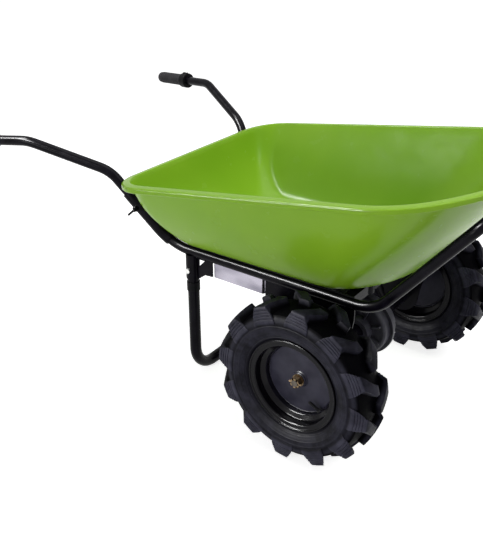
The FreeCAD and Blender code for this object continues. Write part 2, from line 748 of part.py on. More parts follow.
def ribbed_housing():
    """Half of the gear case without a motor: ribs run from its neck to its edge."""
    body = gear_housing()
    half = RIB_SHEET / 2
    rib = block(Vector(-half, HOUSING_HALF - HOUSING_WALL / 2, HOUSING_NECK_RADIUS - half),
                Vector(half, HOUSING_HALF + RIB_HEIGHT, HOUSING_AXLE_RADIUS - RIB_INSET))
    pitch = 360.0 / HOUSING_RIBS
    for k in range(HOUSING_RIBS):
        body = body.fuse(turned(moved(rib, AXLE), AXLE, LEFT, (k + 0.5) * pitch))
    return body.removeSplitter()


def housing_screws():
    """Heads of the screws round the split line of the gear case."""
    outline = tangent_outline(AXLE, HOUSING_AXLE_RADIUS + HOUSING_LIP / 2, motor_centre(),
                              HOUSING_MOTOR_RADIUS + HOUSING_LIP / 2, HOUSING_LIP_THICKNESS + WELD_GAP)
    points = outline.discretize(HOUSING_SCREWS + 1)[:-1]
    return [hexagon(SCREW_FLATS, SCREW_HEIGHT, point, LEFT) for point in points]


def motor():
    """Drive motor can: a grooved cylinder on the left face of the gear case."""
    middle = motor_centre()
    start = HOUSING_HALF + WELD_GAP
    end = start + MOTOR_LENGTH
    can = cylinder(MOTOR_RADIUS, middle + LEFT * start, middle + LEFT * end)
    half = MOTOR_GROOVE_WIDTH / 2
    groove = block(Vector(-half, start + MOTOR_BAND, MOTOR_RADIUS - MOTOR_GROOVE_DEPTH),
                   Vector(half, end - MOTOR_BAND, MOTOR_RADIUS + OVERCUT))
    for k in range(MOTOR_GROOVES):
        can = can.cut(turned(moved(groove, middle), middle, LEFT, 360.0 * k / MOTOR_GROOVES))
    return can


def motor_cap():
    """Turned end cap of the motor with a bearing boss."""
    start = HOUSING_HALF + MOTOR_LENGTH + 2 * WELD_GAP
    face = MOTOR_CAP_LENGTH - MOTOR_BOSS_HEIGHT
    outline = [(0, 0), (0, MOTOR_RADIUS), (face - MOTOR_CAP_CONE, MOTOR_RADIUS),
               (face, MOTOR_RADIUS - MOTOR_CAP_STEP), (face, MOTOR_BOSS_RADIUS),
               (MOTOR_CAP_LENGTH, MOTOR_BOSS_RADIUS), (MOTOR_CAP_LENGTH, 0)]
    return revolved(outline, motor_centre() + LEFT * start)


# ---------------------------------------------------------------- wheels

def tyre():
    """Tyre casing with chevron lugs, turned about Y at the origin, outer side at +Y."""
    bead_half = RIM_FLANGE_HALF - RIM_SHEET - BEAD_GAP

    def half(side, drop):
        bead = side * (bead_half - drop)
        toe = Vector(0, bead, BEAD_RADIUS + BEAD_GAP)
        heel = Vector(0, bead, BEAD_TOP_RADIUS)
        waist = Vector(0, side * (TYRE_HALF_WIDTH - drop), TYRE_WAIST_RADIUS)
        shoulder = Vector(0, side * (TYRE_SHOULDER_HALF - drop), TYRE_SHOULDER_RADIUS - drop)
        return toe, heel, waist, shoulder

    def profile(drop):
        low_toe, low_heel, low_waist, low_shoulder = half(-1, drop)
        toe, heel, waist, shoulder = half(1, drop)
        crown = Vector(0, 0, TYRE_TREAD_BASE - drop)
        edges = [Part.LineSegment(low_toe, low_heel).toShape(),
                 Part.Arc(low_heel, low_waist, low_shoulder).toShape(),
                 Part.Arc(low_shoulder, crown, shoulder).toShape(),
                 Part.Arc(shoulder, waist, heel).toShape(),
                 Part.LineSegment(heel, toe).toShape(),
                 Part.LineSegment(toe, low_toe).toShape()]
        return Part.Face(Part.Wire(edges))

    casing = profile(0).revolve(ORIGIN, LEFT, 360)
    hollow = profile(TYRE_WALL).revolve(ORIGIN, LEFT, 360)
    return joined([casing.cut(hollow)] + tread_lugs())


def tread_envelope():
    """Revolved outer limit of the lugs: crowned tread, shoulder and upper sidewall."""
    shoulder = Vector(0, TYRE_SHOULDER_HALF + LUG_SHOULDER_RISE, TYRE_RADIUS - LUG_SHOULDER_DROP)
    side = Vector(0, TYRE_HALF_WIDTH + LUG_SIDE_RISE, LUG_SIDE_RADIUS)
    root = Vector(0, TYRE_HALF_WIDTH - LUG_ROOT_INSET, TYRE_RADIUS - LUG_ROOT_DROP)

    def across(point):
        return Vector(0, -point.y, point.z)

    crown = Part.Arc(across(shoulder), Vector(0, 0, TYRE_RADIUS), shoulder).toShape()
    corners = [shoulder, side, root, across(root), across(side), across(shoulder)]
    return Part.Face(Part.Wire([crown, *Part.makePolygon(corners).Edges])).revolve(ORIGIN, LEFT, 360)


def lug_outline(side, half_width, height):
    """Plan of a lug: its end on the tyre's middle, its elbow and its sidewall end."""
    stations = ((LUG_LEAD / 2, 1.0, -LUG_CENTRE_REACH),
                (LUG_LEAD / 2 - LUG_ELBOW_SHIFT, LUG_ELBOW_FLARE, LUG_ELBOW_REACH),
                (-LUG_LEAD / 2, LUG_END_FLARE, TYRE_HALF_WIDTH + LUG_FOOT_DROP))
    front = [Vector(x + half_width * flare, side * y, height) for x, flare, y in stations]
    rear = [Vector(x - half_width * flare, side * y, height) for x, flare, y in stations]
    points = front + rear[::-1]
    return Part.makePolygon(points + points[:1])


def lug(side):
    """One slanted lug at the top of the tyre, on the side given by the sign."""
    half = LUG_WIDTH / 2
    inner_radius = TYRE_SHOULDER_RADIUS - TYRE_WALL
    base_z = inner_radius + LUG_TAPER
    body = Part.makeLoft([lug_outline(side, half + LUG_TAPER, base_z),
                          lug_outline(side, half, TYRE_RADIUS + LUG_TAPER)], True, True)
    start_y = side * (TYRE_SHOULDER_HALF - LUG_END_SINK)
    end_y = side * (TYRE_HALF_WIDTH + LUG_FOOT_DROP)
    corners = [(LUG_FOOT_WIDTH, LUG_SIDE_RADIUS - LUG_FOOT_DROP), (LUG_FOOT_WIDTH, TYRE_SHOULDER_RADIUS),
               (LUG_END_WIDTH, TYRE_RADIUS)]
    front = [Vector((width - LUG_LEAD) / 2, start_y, radius) for width, radius in corners]
    rear = [Vector((-width - LUG_LEAD) / 2, start_y, radius) for width, radius in reversed(corners)]
    foot = Part.Face(Part.makePolygon(front + rear + front[:1])).extrude(LEFT * (end_y - start_y))
    room = LEFT * (TYRE_SHOULDER_HALF - TYRE_WALL)
    casing_space = cylinder(inner_radius + LUG_ROOT_SINK, room * -1, room)
    return body.fuse(foot).common(tread_envelope()).cut(casing_space)


def tread_lugs():
    lugs = []
    lead_angle = math.degrees(LUG_LEAD / 2 / TYRE_RADIUS)
    for side, shift in ((1, 0), (-1, LUG_PITCH / 2)):
        first = lug(side)
        for k in range(LUG_COUNT):
            angle = 90 - LUG_PHASE - shift - k * LUG_PITCH + lead_angle
            lugs.append(turned(first, ORIGIN, LEFT, angle))
    return lugs


def rim():
    """Pressed rim and its centre disc, turned about Y, outer side at +Y."""
    t = RIM_SHEET
    e = RIM_EDGE
    seat = BEAD_RADIUS
    well = RIM_WELL_RADIUS
    flange = RIM_FLANGE_RADIUS
    half = RIM_FLANGE_HALF
    tyre_side = [(RIM_WELL_HALF, well), (RIM_SEAT_INNER, seat), (half - t, seat), (half - t, flange - t),
                 (half - t + e, flange - e / 2), (half + RIM_LIP, flange)]
    open_side = [(half + RIM_LIP, flange - t), (half, flange - t - e), (half, seat - e / 2),
                 (half - e, seat - t), (RIM_SEAT_INNER + e, seat - t), (RIM_WELL_HALF + e, well - t)]
    outline = tyre_side + open_side
    outline += [(-s, r) for s, r in reversed(open_side)] + [(-s, r) for s, r in reversed(tyre_side)]
    barrel = revolved(outline, ORIGIN)
    half_disc = LEFT * (DISC_SHEET / 2)
    disc = ring(well - t / 2, HUB_RADIUS + WELD_GAP, half_disc * -1, half_disc)
    hole = valve_place()
    passage = cylinder(VALVE_RADIUS + TUBE_FIT, hole - LEFT * OVERCUT, hole + LEFT * OVERCUT)
    return joined([barrel, disc]).cut(passage.common(disc))


def valve_place():
    angle = math.radians(VALVE_ANGLE)
    return Vector(math.cos(angle), 0, math.sin(angle)) * VALVE_PLACE_RADIUS


def valve():
    """Rubber valve stem with its cap, standing out of the rim well."""
    outward = valve_place().normalize()
    root = outward * (RIM_WELL_RADIUS - RIM_SHEET - WELD_GAP) + LEFT * (RIM_WELL_HALF - RIM_EDGE)
    lean = (LEFT * VALVE_LEAN - outward).normalize()
    cap_start = root + lean * (VALVE_LENGTH - VALVE_CAP_LENGTH)
    stem = cylinder(VALVE_RADIUS, root + lean * VALVE_ROOT_GAP, cap_start)
    cap = cylinder(VALVE_CAP_RADIUS, cap_start, root + lean * VALVE_LENGTH)
    return joined([stem, cap])


def hub():
    return ring(HUB_RADIUS, SHAFT_RADIUS + SHAFT_FIT, LEFT * -HUB_INBOARD, LEFT * HUB_OUTBOARD)


def pin_ends():
    """Ends of the split pin, which lies across a pair of the nut's slots."""
    y = HUB_OUTBOARD + WELD_GAP + WASHER_THICKNESS + NUT_HEIGHT - NUT_SLOT_DEPTH / 2
    half = FORWARD * (PIN_LENGTH / 2)
    return LEFT * y - half, LEFT * y + half


def axle_shaft():
    """Wheel shaft from inside the gear housing's neck to its end past the castle nut."""
    start = LEFT * (HOUSING_NECK_END + SHAFT_HOUSING_GAP - TRACK_HALF)
    shoulder = LEFT * HUB_OUTBOARD
    shaft = cylinder(SHAFT_RADIUS, start, shoulder)
    shaft = shaft.fuse(cylinder(SHAFT_END_RADIUS, shoulder, shoulder + LEFT * SHAFT_END_LENGTH))
    return shaft.cut(cylinder(PIN_RADIUS + PIN_GAP, *pin_ends())).removeSplitter()


def castle_nut():
    """Castellated nut with its washer in one piece, and the split pin through it."""
    start = LEFT * (HUB_OUTBOARD + WELD_GAP)
    seat = start + LEFT * WASHER_THICKNESS
    washer = ring(WASHER_RADIUS, SHAFT_END_RADIUS + TUBE_FIT, start, seat)
    nut = hexagon(NUT_FLATS, NUT_HEIGHT, seat, LEFT)
    nut = nut.common(Part.makeCone(NUT_BASE_RADIUS, NUT_TOP_RADIUS, NUT_HEIGHT, seat, LEFT))
    nut = nut.cut(cylinder(SHAFT_END_RADIUS + TUBE_FIT, seat, seat + LEFT * NUT_HEIGHT))
    half = NUT_SLOT_WIDTH / 2
    slot = block(Vector(-NUT_FLATS, seat.y + NUT_HEIGHT - NUT_SLOT_DEPTH, -half),
                 Vector(NUT_FLATS, seat.y + NUT_HEIGHT + OVERCUT, half))
    for k in range(3):
        nut = nut.cut(turned(slot, ORIGIN, LEFT, 60 * k))
    return [joined([washer, nut]), cylinder(PIN_RADIUS, *pin_ends())]


def axle_bearing():
    """Ball race at the end of the left axle tube, shown by its two rings and shield."""
    outer = AXLE_TUBE_RADIUS - AXLE_TUBE_WALL - BEARING_FIT
    inner = SHAFT_RADIUS + SHAFT_FIT
    w = BEARING_WIDTH
    ring_inside = inner + BEARING_RING
    ring_outside = outer - BEARING_RING
    low = BEARING_RECESS
    high = w - BEARING_RECESS
    outline = [(0, inner), (0, ring_inside), (low, ring_inside), (low, ring_outside), (0, ring_outside),
               (0, outer), (w, outer), (w, ring_outside), (high, ring_outside), (high, ring_inside),
               (w, ring_inside), (w, inner)]
    return revolved(outline, AXLE + LEFT * (AXLE_TUBE_END - w))


# ---------------------------------------------------------------- grips and controls

def grip_back():
    """Way back along the left handle's last run, from the grip's end to the bend."""
    return (HANDLE_HIGH - HANDLE_END).normalize()


def grip(fit):
    """Rubber grip with finger ribs and an end flange, closed at the rear."""
    back = grip_back()
    start = HANDLE_END - back * GRIP_END_WALL
    front = start + back * GRIP_LENGTH
    body = cylinder(GRIP_RADIUS, start, front)
    rear = [e for e in body.Edges if (e.CenterOfMass - start).Length < GRIP_END_WALL]
    body = body.makeFillet(GRIP_END_WALL - TUBE_FIT, rear)
    pitch = (GRIP_LENGTH - GRIP_PLAIN_REAR - GRIP_PLAIN_FRONT) / GRIP_RIBS
    ribs = []
    for k in range(GRIP_RIBS):
        low = start + back * (GRIP_PLAIN_REAR + k * pitch)
        ribs.append(cylinder(GRIP_RADIUS + GRIP_RIB_HEIGHT, low, low + back * (pitch / 2)))
    flange = cylinder(GRIP_FLANGE_RADIUS, front - back * GRIP_FLANGE_THICKNESS, front)
    body = joined([body, flange] + ribs)
    return body.cut(cylinder(TUBE_RADIUS + fit, HANDLE_END - back * WELD_GAP, front + back))


def pod_ends():
    """Rear and front end of the round switch housing in front of the left grip."""
    start = HANDLE_END + grip_back() * (GRIP_LENGTH - GRIP_END_WALL + POD_GAP)
    return start, start + grip_back() * POD_LENGTH


def control_pod():
    """Round switch housing clamped on the tube in front of a grip."""
    start, front = pod_ends()
    body = cylinder(POD_RADIUS, start, front)
    body = body.makeFillet(POD_ROUNDING, [e for e in body.Edges if e.Curve.TypeId == "Part::GeomCircle"])
    body = body.cut(cylinder(TUBE_RADIUS + TUBE_FIT, start, front))
    return body.cut(rocker_pocket()).cut(rocker_pin(POD_RADIUS / 2, TURNING_FIT))


def rocker_axes():
    """Middle of the rocker on top of the left pod, with the tube, side and up ways."""
    start, front = pod_ends()
    back = grip_back()
    side = back.cross(UP).normalize()
    top = side.cross(back).normalize()
    return (start + front) / 2 + top * (POD_RADIUS - ROCKER_SINK), back, side, top


def rocker_pocket():
    """Room in the pod in which the rocker tips."""
    centre, back, side, top = rocker_axes()
    half_length = back * (ROCKER_LENGTH / 2 + ROCKER_END_GAP)
    half_width = side * (ROCKER_WIDTH / 2 + ROCKER_SIDE_GAP)
    low = centre - top * ROCKER_POCKET_DEPTH
    points = [low - half_length - half_width, low + half_length - half_width,
              low + half_length + half_width, low - half_length + half_width]
    face = Part.Face(Part.makePolygon(points + points[:1]))
    return face.extrude(top * (ROCKER_POCKET_DEPTH + OVERCUT))


def rocker_pin(half_length, fit):
    centre, back, side, top = rocker_axes()
    return cylinder(ROCKER_PIN_RADIUS + fit, centre - side * half_length, centre + side * half_length)


def direction_rocker():
    """Forward and reverse rocker: two flats that meet over its pin."""
    centre, back, side, top = rocker_axes()
    half = back * (ROCKER_LENGTH / 2)
    tip_rise = top * ROCKER_TIP_HEIGHT
    tip_drop = top * ROCKER_TIP_DEPTH
    foot = half * ROCKER_FOOT_SHARE
    points = [centre - half + tip_rise, centre + top * ROCKER_MIDDLE_HEIGHT, centre + half + tip_rise,
              centre + foot - tip_drop, centre - top * ROCKER_ROOT_DEPTH, centre - foot - tip_drop]
    body = plate(points, ROCKER_WIDTH, side)
    return body.fuse(rocker_pin(ROCKER_WIDTH / 2 + ROCKER_PIN_REACH, 0))


# ---------------------------------------------------------------- tray

def outline_wire(rear_x, half_width, front_start, rear_corner, front_corner, inset):
    """Plan outline of the tray in the XY plane, moved inwards by inset."""
    w = half_width - inset
    rear = rear_x + inset
    rc = rear_corner - inset
    fc = front_corner - inset
    turn = math.radians(NOSE_TURN)
    end = Vector(front_start + fc * math.sin(turn), w - fc * (1 - math.cos(turn)), 0)
    mid = Vector(front_start + fc * math.sin(turn / 2), w - fc * (1 - math.cos(turn / 2)), 0)
    nose = Vector(nose_reach(front_start, w, fc), 0, 0)
    corner = Vector(rear + rc * (1 - math.cos(math.pi / 4)), w - rc * (1 - math.sin(math.pi / 4)), 0)

    def flip(p):
        return Vector(p.x, -p.y, p.z)

    side_rear = Vector(rear + rc, w, 0)
    side_front = Vector(front_start, w, 0)
    rear_left = Vector(rear, w - rc, 0)
    return Part.Wire([
        Part.LineSegment(flip(rear_left), rear_left).toShape(),
        Part.Arc(rear_left, corner, side_rear).toShape(),
        Part.LineSegment(side_rear, side_front).toShape(),
        Part.Arc(side_front, mid, end).toShape(),
        Part.Arc(end, nose, flip(end)).toShape(),
        Part.Arc(flip(end), flip(mid), flip(side_front)).toShape(),
        Part.LineSegment(flip(side_front), flip(side_rear)).toShape(),
        Part.Arc(flip(side_rear), flip(corner), flip(rear_left)).toShape(),
    ])


def tilted(wire, height, slope):
    """Lifts a plan outline to height at the axle, rising by slope along X."""
    shear = Matrix()
    shear.A31 = slope
    lifted = wire.transformGeometry(shear)
    lifted.translate(UP * height)
    return lifted


def tray_section(share, inset):
    """Outline of the tray at a share of its height, 0 at the floor and 1 at the rim."""
    def between(low, high):
        return low + (high - low) * share

    edge = ROLL_RADIUS * 2 - TRAY_SHEET
    wire = outline_wire(
        between(FLOOR_REAR_X, RIM_REAR_X + edge),
        between(FLOOR_HALF_WIDTH, RIM_HALF_WIDTH - edge),
        between(FLOOR_FRONT_START, RIM_FRONT_START),
        between(FLOOR_REAR_CORNER, RIM_REAR_CORNER - edge),
        between(FLOOR_FRONT_CORNER, RIM_FRONT_CORNER - edge),
        inset)
    return tilted(wire, between(FLOOR_HEIGHT, RIM_HEIGHT), RIM_SLOPE * share)


def tray_body(sheet, top_share):
    """Solid tray form; sheet moves it inwards and up by the metal's thickness."""
    radius = FLOOR_EDGE_RADIUS - sheet
    lean = math.radians(WALL_ANGLE)
    sections = []
    for k in range(EDGE_STEPS + 1):
        angle = lean * k / EDGE_STEPS
        rise = radius * (1 - math.cos(angle))
        pull = rise / math.tan(lean) + radius * (math.tan(lean / 2) - math.sin(angle))
        sections.append((rise / TRAY_DEPTH, pull + sheet))
    for share in (*WALL_SHARES, top_share):
        sections.append((share, sheet))
    wires = [tray_section(share, inset) for share, inset in sections]
    return moved(Part.makeLoft(wires, True, False), UP * sheet)


def rolled_rim():
    """Rolled edge swept round the top of the tray wall."""
    spine = tray_section(1.0, 0)
    start = Vector(RIM_REAR_X + 2 * ROLL_RADIUS - TRAY_SHEET, 0, 0)
    start.z = RIM_HEIGHT + RIM_SLOPE * start.x
    outward = Vector(-1, 0, -RIM_SLOPE).normalize()
    up = Vector(-RIM_SLOPE, 0, 1).normalize()

    def at(u, v):
        return start + outward * u + up * v

    r = ROLL_RADIUS
    t = TRAY_SHEET
    c = r - t
    g = ROLL_SEAM
    low = -2 * TRAY_SHEET
    edges = [
        Part.LineSegment(at(-t - g, low), at(-t - g, 0)).toShape(),
        Part.Arc(at(-t - g, 0), at(c, r), at(c + r, 0)).toShape(),
        Part.LineSegment(at(c + r, 0), at(c + r, -ROLL_DROP)).toShape(),
        Part.LineSegment(at(c + r, -ROLL_DROP), at(c + r - t, -ROLL_DROP)).toShape(),
        Part.LineSegment(at(c + r - t, -ROLL_DROP), at(c + r - t, 0)).toShape(),
        Part.Arc(at(c + r - t, 0), at(c, r - t), at(g, 0)).toShape(),
        Part.LineSegment(at(g, 0), at(g, low)).toShape(),
        Part.LineSegment(at(g, low), at(-t - g, low)).toShape(),
    ]
    maker = Part.BRepOffsetAPI.MakePipeShell(spine)
    maker.setBiNormalMode(up)
    maker.add(Part.Wire(edges), False, False)
    maker.build()
    maker.makeSolid()
    return maker.shape()


def bolt_places():
    """Middles of the four bolt seats, on the underside of the tray floor."""
    return [Vector(x, way * TRAY_BOLT_Y, FLOOR_HEIGHT)
            for x in (CROSS_REAR_X, CROSS_FRONT_X) for way in (-1, 1)]


def dimple(place):
    """Pressed seat that sinks one bolt head below the tray floor."""
    t = TRAY_SHEET
    hole = TRAY_BOLT_RADIUS + TUBE_FIT
    edge = DIMPLE_RADIUS - DIMPLE_EDGE
    foot = edge - DIMPLE_SLOPE
    outline = [(hole, -DIMPLE_DEPTH), (foot, -DIMPLE_DEPTH), (edge, 0), (edge, t), (edge - t / 2, t),
               (foot - t / 2, t - DIMPLE_DEPTH), (hole, t - DIMPLE_DEPTH)]
    corners = [Vector(r, 0, z) for r, z in outline]
    face = Part.Face(Part.makePolygon(corners + corners[:1]))
    return moved(face.revolve(ORIGIN, UP, 360), place)


def tray():
    shell = tray_body(0, 1.0).cut(tray_body(TRAY_SHEET, RIM_OVERSHARE))
    shell = shell.fuse(rolled_rim())
    for place in bolt_places():
        seat = cylinder(DIMPLE_RADIUS - DIMPLE_EDGE, place - UP * OVERCUT, place + UP * OVERCUT)
        shell = shell.cut(seat).fuse(dimple(place))
    return shell.removeSplitter()


def tray_bolts():
    """Round-headed bolts in the dimples, down through the cross members."""
    bolts = []
    for place in bolt_places():
        seat = place + UP * (TRAY_SHEET - DIMPLE_DEPTH + WELD_GAP)
        head = Part.makeCone(BOLT_HEAD_RADIUS, BOLT_HEAD_TOP_RADIUS, BOLT_HEAD_HEIGHT, seat, UP)
        shank = cylinder(TRAY_BOLT_RADIUS, seat, place - UP * (CROSS_SIZE + BOLT_REACH))
        bolts.append(head.fuse(shank).removeSplitter())
    return bolts


def tray_nuts():
    nuts = []
    for place in bolt_places():
        top = place - UP * (CROSS_SIZE + 2 * WELD_GAP)
        nut = hexagon(HEX_FLATS, NUT_THICKNESS, top, UP * -1)
        nuts.append(nut.cut(cylinder(TRAY_BOLT_RADIUS + TUBE_FIT, place, top - UP * OVERCUT)))
    return nuts


# ---------------------------------------------------------------- export

def save(name, shape):
    """Writes one node after moving it from axle-based places to the part's frame."""
    solids = shape if isinstance(shape, list) else [shape]
    whole = Part.makeCompound(solids) if len(solids) > 1 else solids[0]
    whole = moved(whole, FORWARD * AXLE_X)
    whole.exportStep("parts/" + name + ".step")
    print(name, len(whole.Solids), "solid", round(whole.Volume / 1000, 1), "cm3", whole.isValid())


def save_pair(name, shape):
    """Writes the left piece as drawn and the right piece as its mirror image."""
    solids = shape if isinstance(shape, list) else [shape]
    save(name + "_left", solids)
    save(name + "_right", [mirrored(s) for s in solids])


def save_wheel_pair(name, shape):
    """Puts a wheel piece on both axle ends, the left one turned on by half a lug pitch."""
    solids = shape if isinstance(shape, list) else [shape]
    wheel = AXLE + LEFT * TRACK_HALF
    save(name + "_left", [moved(turned(s, ORIGIN, LEFT, LUG_PITCH / 2), wheel) for s in solids])
    save(name + "_right", [mirrored(moved(s, wheel)) for s in solids])


os.makedirs("parts", exist_ok=True)

save("tray", tray())
save("tray_bolts", tray_bolts())
save("tray_nuts", tray_nuts())
save_pair("frame_rail", frame_rail())
save("nose_hoop", nose_hoop())
save_pair("handle", handle_tube())
save_pair("handle_sleeve", handle_sleeve())
save_pair("wing_bolt", wing_bolt())
save("cross_member_rear", cross_member(CROSS_REAR_X))
save("cross_member_front", cross_member(CROSS_FRONT_X))
save("stand", stand())
save_pair("leg_socket", leg_socket())
save_pair("leg_collar", leg_collar())
save("stand_bolts", [stand_bolt(), mirrored(stand_bolt())])
save_pair("gusset", gusset())
save("battery_box", battery_box())
save("battery_box_lid", battery_box_lid())
save("battery_pack", battery_pack())
save("controller", controller())
save("key_switch", key_switch())
save("charge_socket", charge_socket())
save_pair("side_plate", side_plate())
save_pair("axle_tube", axle_tube())
save("axle_flange_bolts", flange_bolts() + [mirrored(head) for head in flange_bolts()])
save("gear_housing_left", gear_housing())
save("gear_housing_right", mirrored(ribbed_housing()))
save("housing_screws", housing_screws())
save("motor", motor())
save("motor_cap", motor_cap())
save_pair("axle_bearing", axle_bearing())
save_wheel_pair("tyre", tyre())
save_wheel_pair("rim", rim())
save_wheel_pair("hub", hub())
save_wheel_pair("valve", valve())
save_wheel_pair("axle_shaft", axle_shaft())
save_wheel_pair("castle_nut", castle_nut())
save("grip_left", grip(TUBE_FIT))
save("throttle_grip", mirrored(grip(TURNING_FIT)))
save("switch_pod", control_pod())
save("throttle_pod", mirrored(control_pod()))
save("direction_rocker", direction_rocker())
print("axle at x", round(AXLE_X, 3))
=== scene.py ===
import json
import math

import bmesh
import bpy
from mathutils import Matrix, Vector

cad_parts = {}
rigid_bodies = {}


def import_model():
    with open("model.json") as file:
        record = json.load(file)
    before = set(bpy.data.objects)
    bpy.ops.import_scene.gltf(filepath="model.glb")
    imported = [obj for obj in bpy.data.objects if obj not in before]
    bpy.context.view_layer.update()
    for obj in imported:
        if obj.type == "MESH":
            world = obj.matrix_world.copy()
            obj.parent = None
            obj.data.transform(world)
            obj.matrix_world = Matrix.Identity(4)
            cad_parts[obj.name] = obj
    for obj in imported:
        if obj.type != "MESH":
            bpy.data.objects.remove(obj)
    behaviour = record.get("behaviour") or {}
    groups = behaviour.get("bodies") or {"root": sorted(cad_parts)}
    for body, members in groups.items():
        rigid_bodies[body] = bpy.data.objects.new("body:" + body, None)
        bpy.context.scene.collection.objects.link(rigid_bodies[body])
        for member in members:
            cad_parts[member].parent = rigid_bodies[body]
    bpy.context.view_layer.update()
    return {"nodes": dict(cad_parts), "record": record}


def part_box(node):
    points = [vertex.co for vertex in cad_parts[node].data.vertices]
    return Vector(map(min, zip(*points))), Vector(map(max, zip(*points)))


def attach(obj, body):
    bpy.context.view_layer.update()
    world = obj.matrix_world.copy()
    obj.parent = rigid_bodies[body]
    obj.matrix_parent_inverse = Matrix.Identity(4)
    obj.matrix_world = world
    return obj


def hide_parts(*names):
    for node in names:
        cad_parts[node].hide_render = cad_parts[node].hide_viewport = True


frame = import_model()
nodes = frame["nodes"]
print("frame loaded,", len(nodes), "nodes")

# where the wheels are, from the frame: the axle's line and half the track
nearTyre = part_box("tyre_right")
axleX = (nearTyre[0].x + nearTyre[1].x) / 2
axleZ = (nearTyre[0].z + nearTyre[1].z) / 2
trackHalf = -(nearTyre[0].y + nearTyre[1].y) / 2


def clearSelection():
    for thing in bpy.context.selected_objects:
        thing.select_set(False)


camera = {
    "place": (axleX + 0.8158, -1.6281, 1.2670),
    "turnDegrees": (63.2, 0.0, 35.9),
    "lens": 54.62,
    "shift": (-0.0166, 0.0013),
}


def makeCamera():
    data = bpy.data.cameras.new("camera")
    data.lens = camera["lens"]
    data.shift_x, data.shift_y = camera["shift"]
    made = bpy.data.objects.new("camera", data)
    made.location = camera["place"]
    made.rotation_euler = [math.radians(a) for a in camera["turnDegrees"]]
    bpy.context.scene.collection.objects.link(made)
    bpy.context.scene.camera = made


lamps = {
    "overhead": {"place": (0.2, 0.4, 3.1), "aim": (0.0, 0.0, 0.4), "size": (2.4, 1.8), "watts": 48},
    "side": {"place": (-0.6, -3.4, 0.9), "aim": (0.1, 0.0, 0.5), "size": (1.6, 0.9), "watts": 38},
    "front": {"place": (2.3, 0.3, 2.5), "aim": (-0.2, 0.0, 0.5), "size": (1.2, 1.2), "watts": 22},
}
# panels that show only as bright lines in gloss, and the finishes that each one lights (none: all)
shines = {
    "shineTube": {"place": (-1.3, -2.1, 2.6), "aim": (0.3, -0.2, 0.4), "size": (2.6, 0.6), "watts": 1050,
                  "lights": ("framePaint", "rimPaint")},
    "shineLow": {"place": (-1.35, -2.95, 0.86), "aim": (0.2, -0.2, 0.4), "size": (2.0, 0.42), "watts": 380,
                 "lights": ("tyreRubber", "trayPaint", "rimPaint")},
    "shineRim": {"place": (-1.7, -1.1, 3.2), "aim": (0.1, -0.3, 0.5), "size": (1.4, 0.5), "watts": 150,
                 "lights": ()},
}


def makeLamps(settings, seenOnDull):
    for name, lamp in settings.items():
        data = bpy.data.lights.new(name, "AREA")
        data.shape = "RECTANGLE"
        data.size, data.size_y = lamp["size"]
        data.energy = lamp["watts"]
        made = bpy.data.objects.new(name, data)
        made.location = lamp["place"]
        direction = Vector(lamp["aim"]) - Vector(lamp["place"])
        made.rotation_euler = direction.to_track_quat("-Z", "Y").to_euler()
        made.visible_diffuse = seenOnDull
        bpy.context.scene.collection.objects.link(made)


# wiring: a value is a socket, a number, or a colour of three numbers
def feed(tree, socket, value):
    if isinstance(value, bpy.types.NodeSocket):
        tree.links.new(value, socket)
    elif isinstance(value, tuple):
        socket.default_value = (*value, 1)
    else:
        socket.default_value = value


def maths(tree, operation, *values):
    node = tree.nodes.new("ShaderNodeMath")
    node.operation = operation
    for k, value in enumerate(values):
        feed(tree, node.inputs[k], value)
    return node.outputs["Value"]


def seenDirectly(tree):
    # 1 for what the camera, a mirror or glass sees, 0 for the light that falls on things
    ray = tree.nodes.new("ShaderNodeLightPath")
    mirrored = maths(tree, "MAXIMUM", ray.outputs["Is Glossy Ray"], ray.outputs["Is Transmission Ray"])
    return maths(tree, "MAXIMUM", ray.outputs["Is Camera Ray"], mirrored)


def surface(tree, kind, colour, strength=None):
    # a plain shader node of one colour
    node = tree.nodes.new(kind)
    feed(tree, node.inputs["Color"], colour)
    if strength is not None:
        feed(tree, node.inputs["Strength"], strength)
    return node.outputs[0]


def showBoth(tree, lit, seen, outKind):
    # the first shader lights the pieces, the second is what is seen directly
    out = tree.nodes.new(outKind)
    mix = tree.nodes.new("ShaderNodeMixShader")
    feed(tree, mix.inputs["Fac"], seenDirectly(tree))
    feed(tree, mix.inputs[1], lit)
    feed(tree, mix.inputs[2], seen)
    feed(tree, out.inputs["Surface"], mix.outputs["Shader"])


room = {
    "worldLight": (0.25, 0.25, 0.25),
    "background": (1.0, 1.0, 1.0),
    "floorSize": 60.0,
    "floorColour": (0.8, 0.8, 0.8),
    # the floor as it is seen: a pale one that still takes a shadow, lifted to the background's white
    "floorSeen": (0.9, 0.9, 0.9),
    "floorLift": 0.79,
}


def makeRoom():
    world = bpy.data.worlds.new("studio")
    bpy.context.scene.world = world
    world.use_nodes = True
    tree = world.node_tree
    tree.nodes.clear()
    light = surface(tree, "ShaderNodeBackground", room["worldLight"])
    white = surface(tree, "ShaderNodeBackground", room["background"])
    showBoth(tree, light, white, "ShaderNodeOutputWorld")

    clearSelection()
    bpy.ops.mesh.primitive_plane_add(size=room["floorSize"], location=(0, 0, 0))
    floor = bpy.context.object
    floor.name = "floor"
    paint = bpy.data.materials.new("floorPaint")
    paint.use_nodes = True
    tree = paint.node_tree
    tree.nodes.clear()
    dull = surface(tree, "ShaderNodeBsdfDiffuse", room["floorColour"])
    pale = surface(tree, "ShaderNodeBsdfDiffuse", room["floorSeen"])
    glow = surface(tree, "ShaderNodeEmission", room["background"], room["floorLift"])
    both = tree.nodes.new("ShaderNodeAddShader")
    feed(tree, both.inputs[0], pale)
    feed(tree, both.inputs[1], glow)
    showBoth(tree, dull, both.outputs["Shader"], "ShaderNodeOutputMaterial")
    floor.data.materials.append(paint)


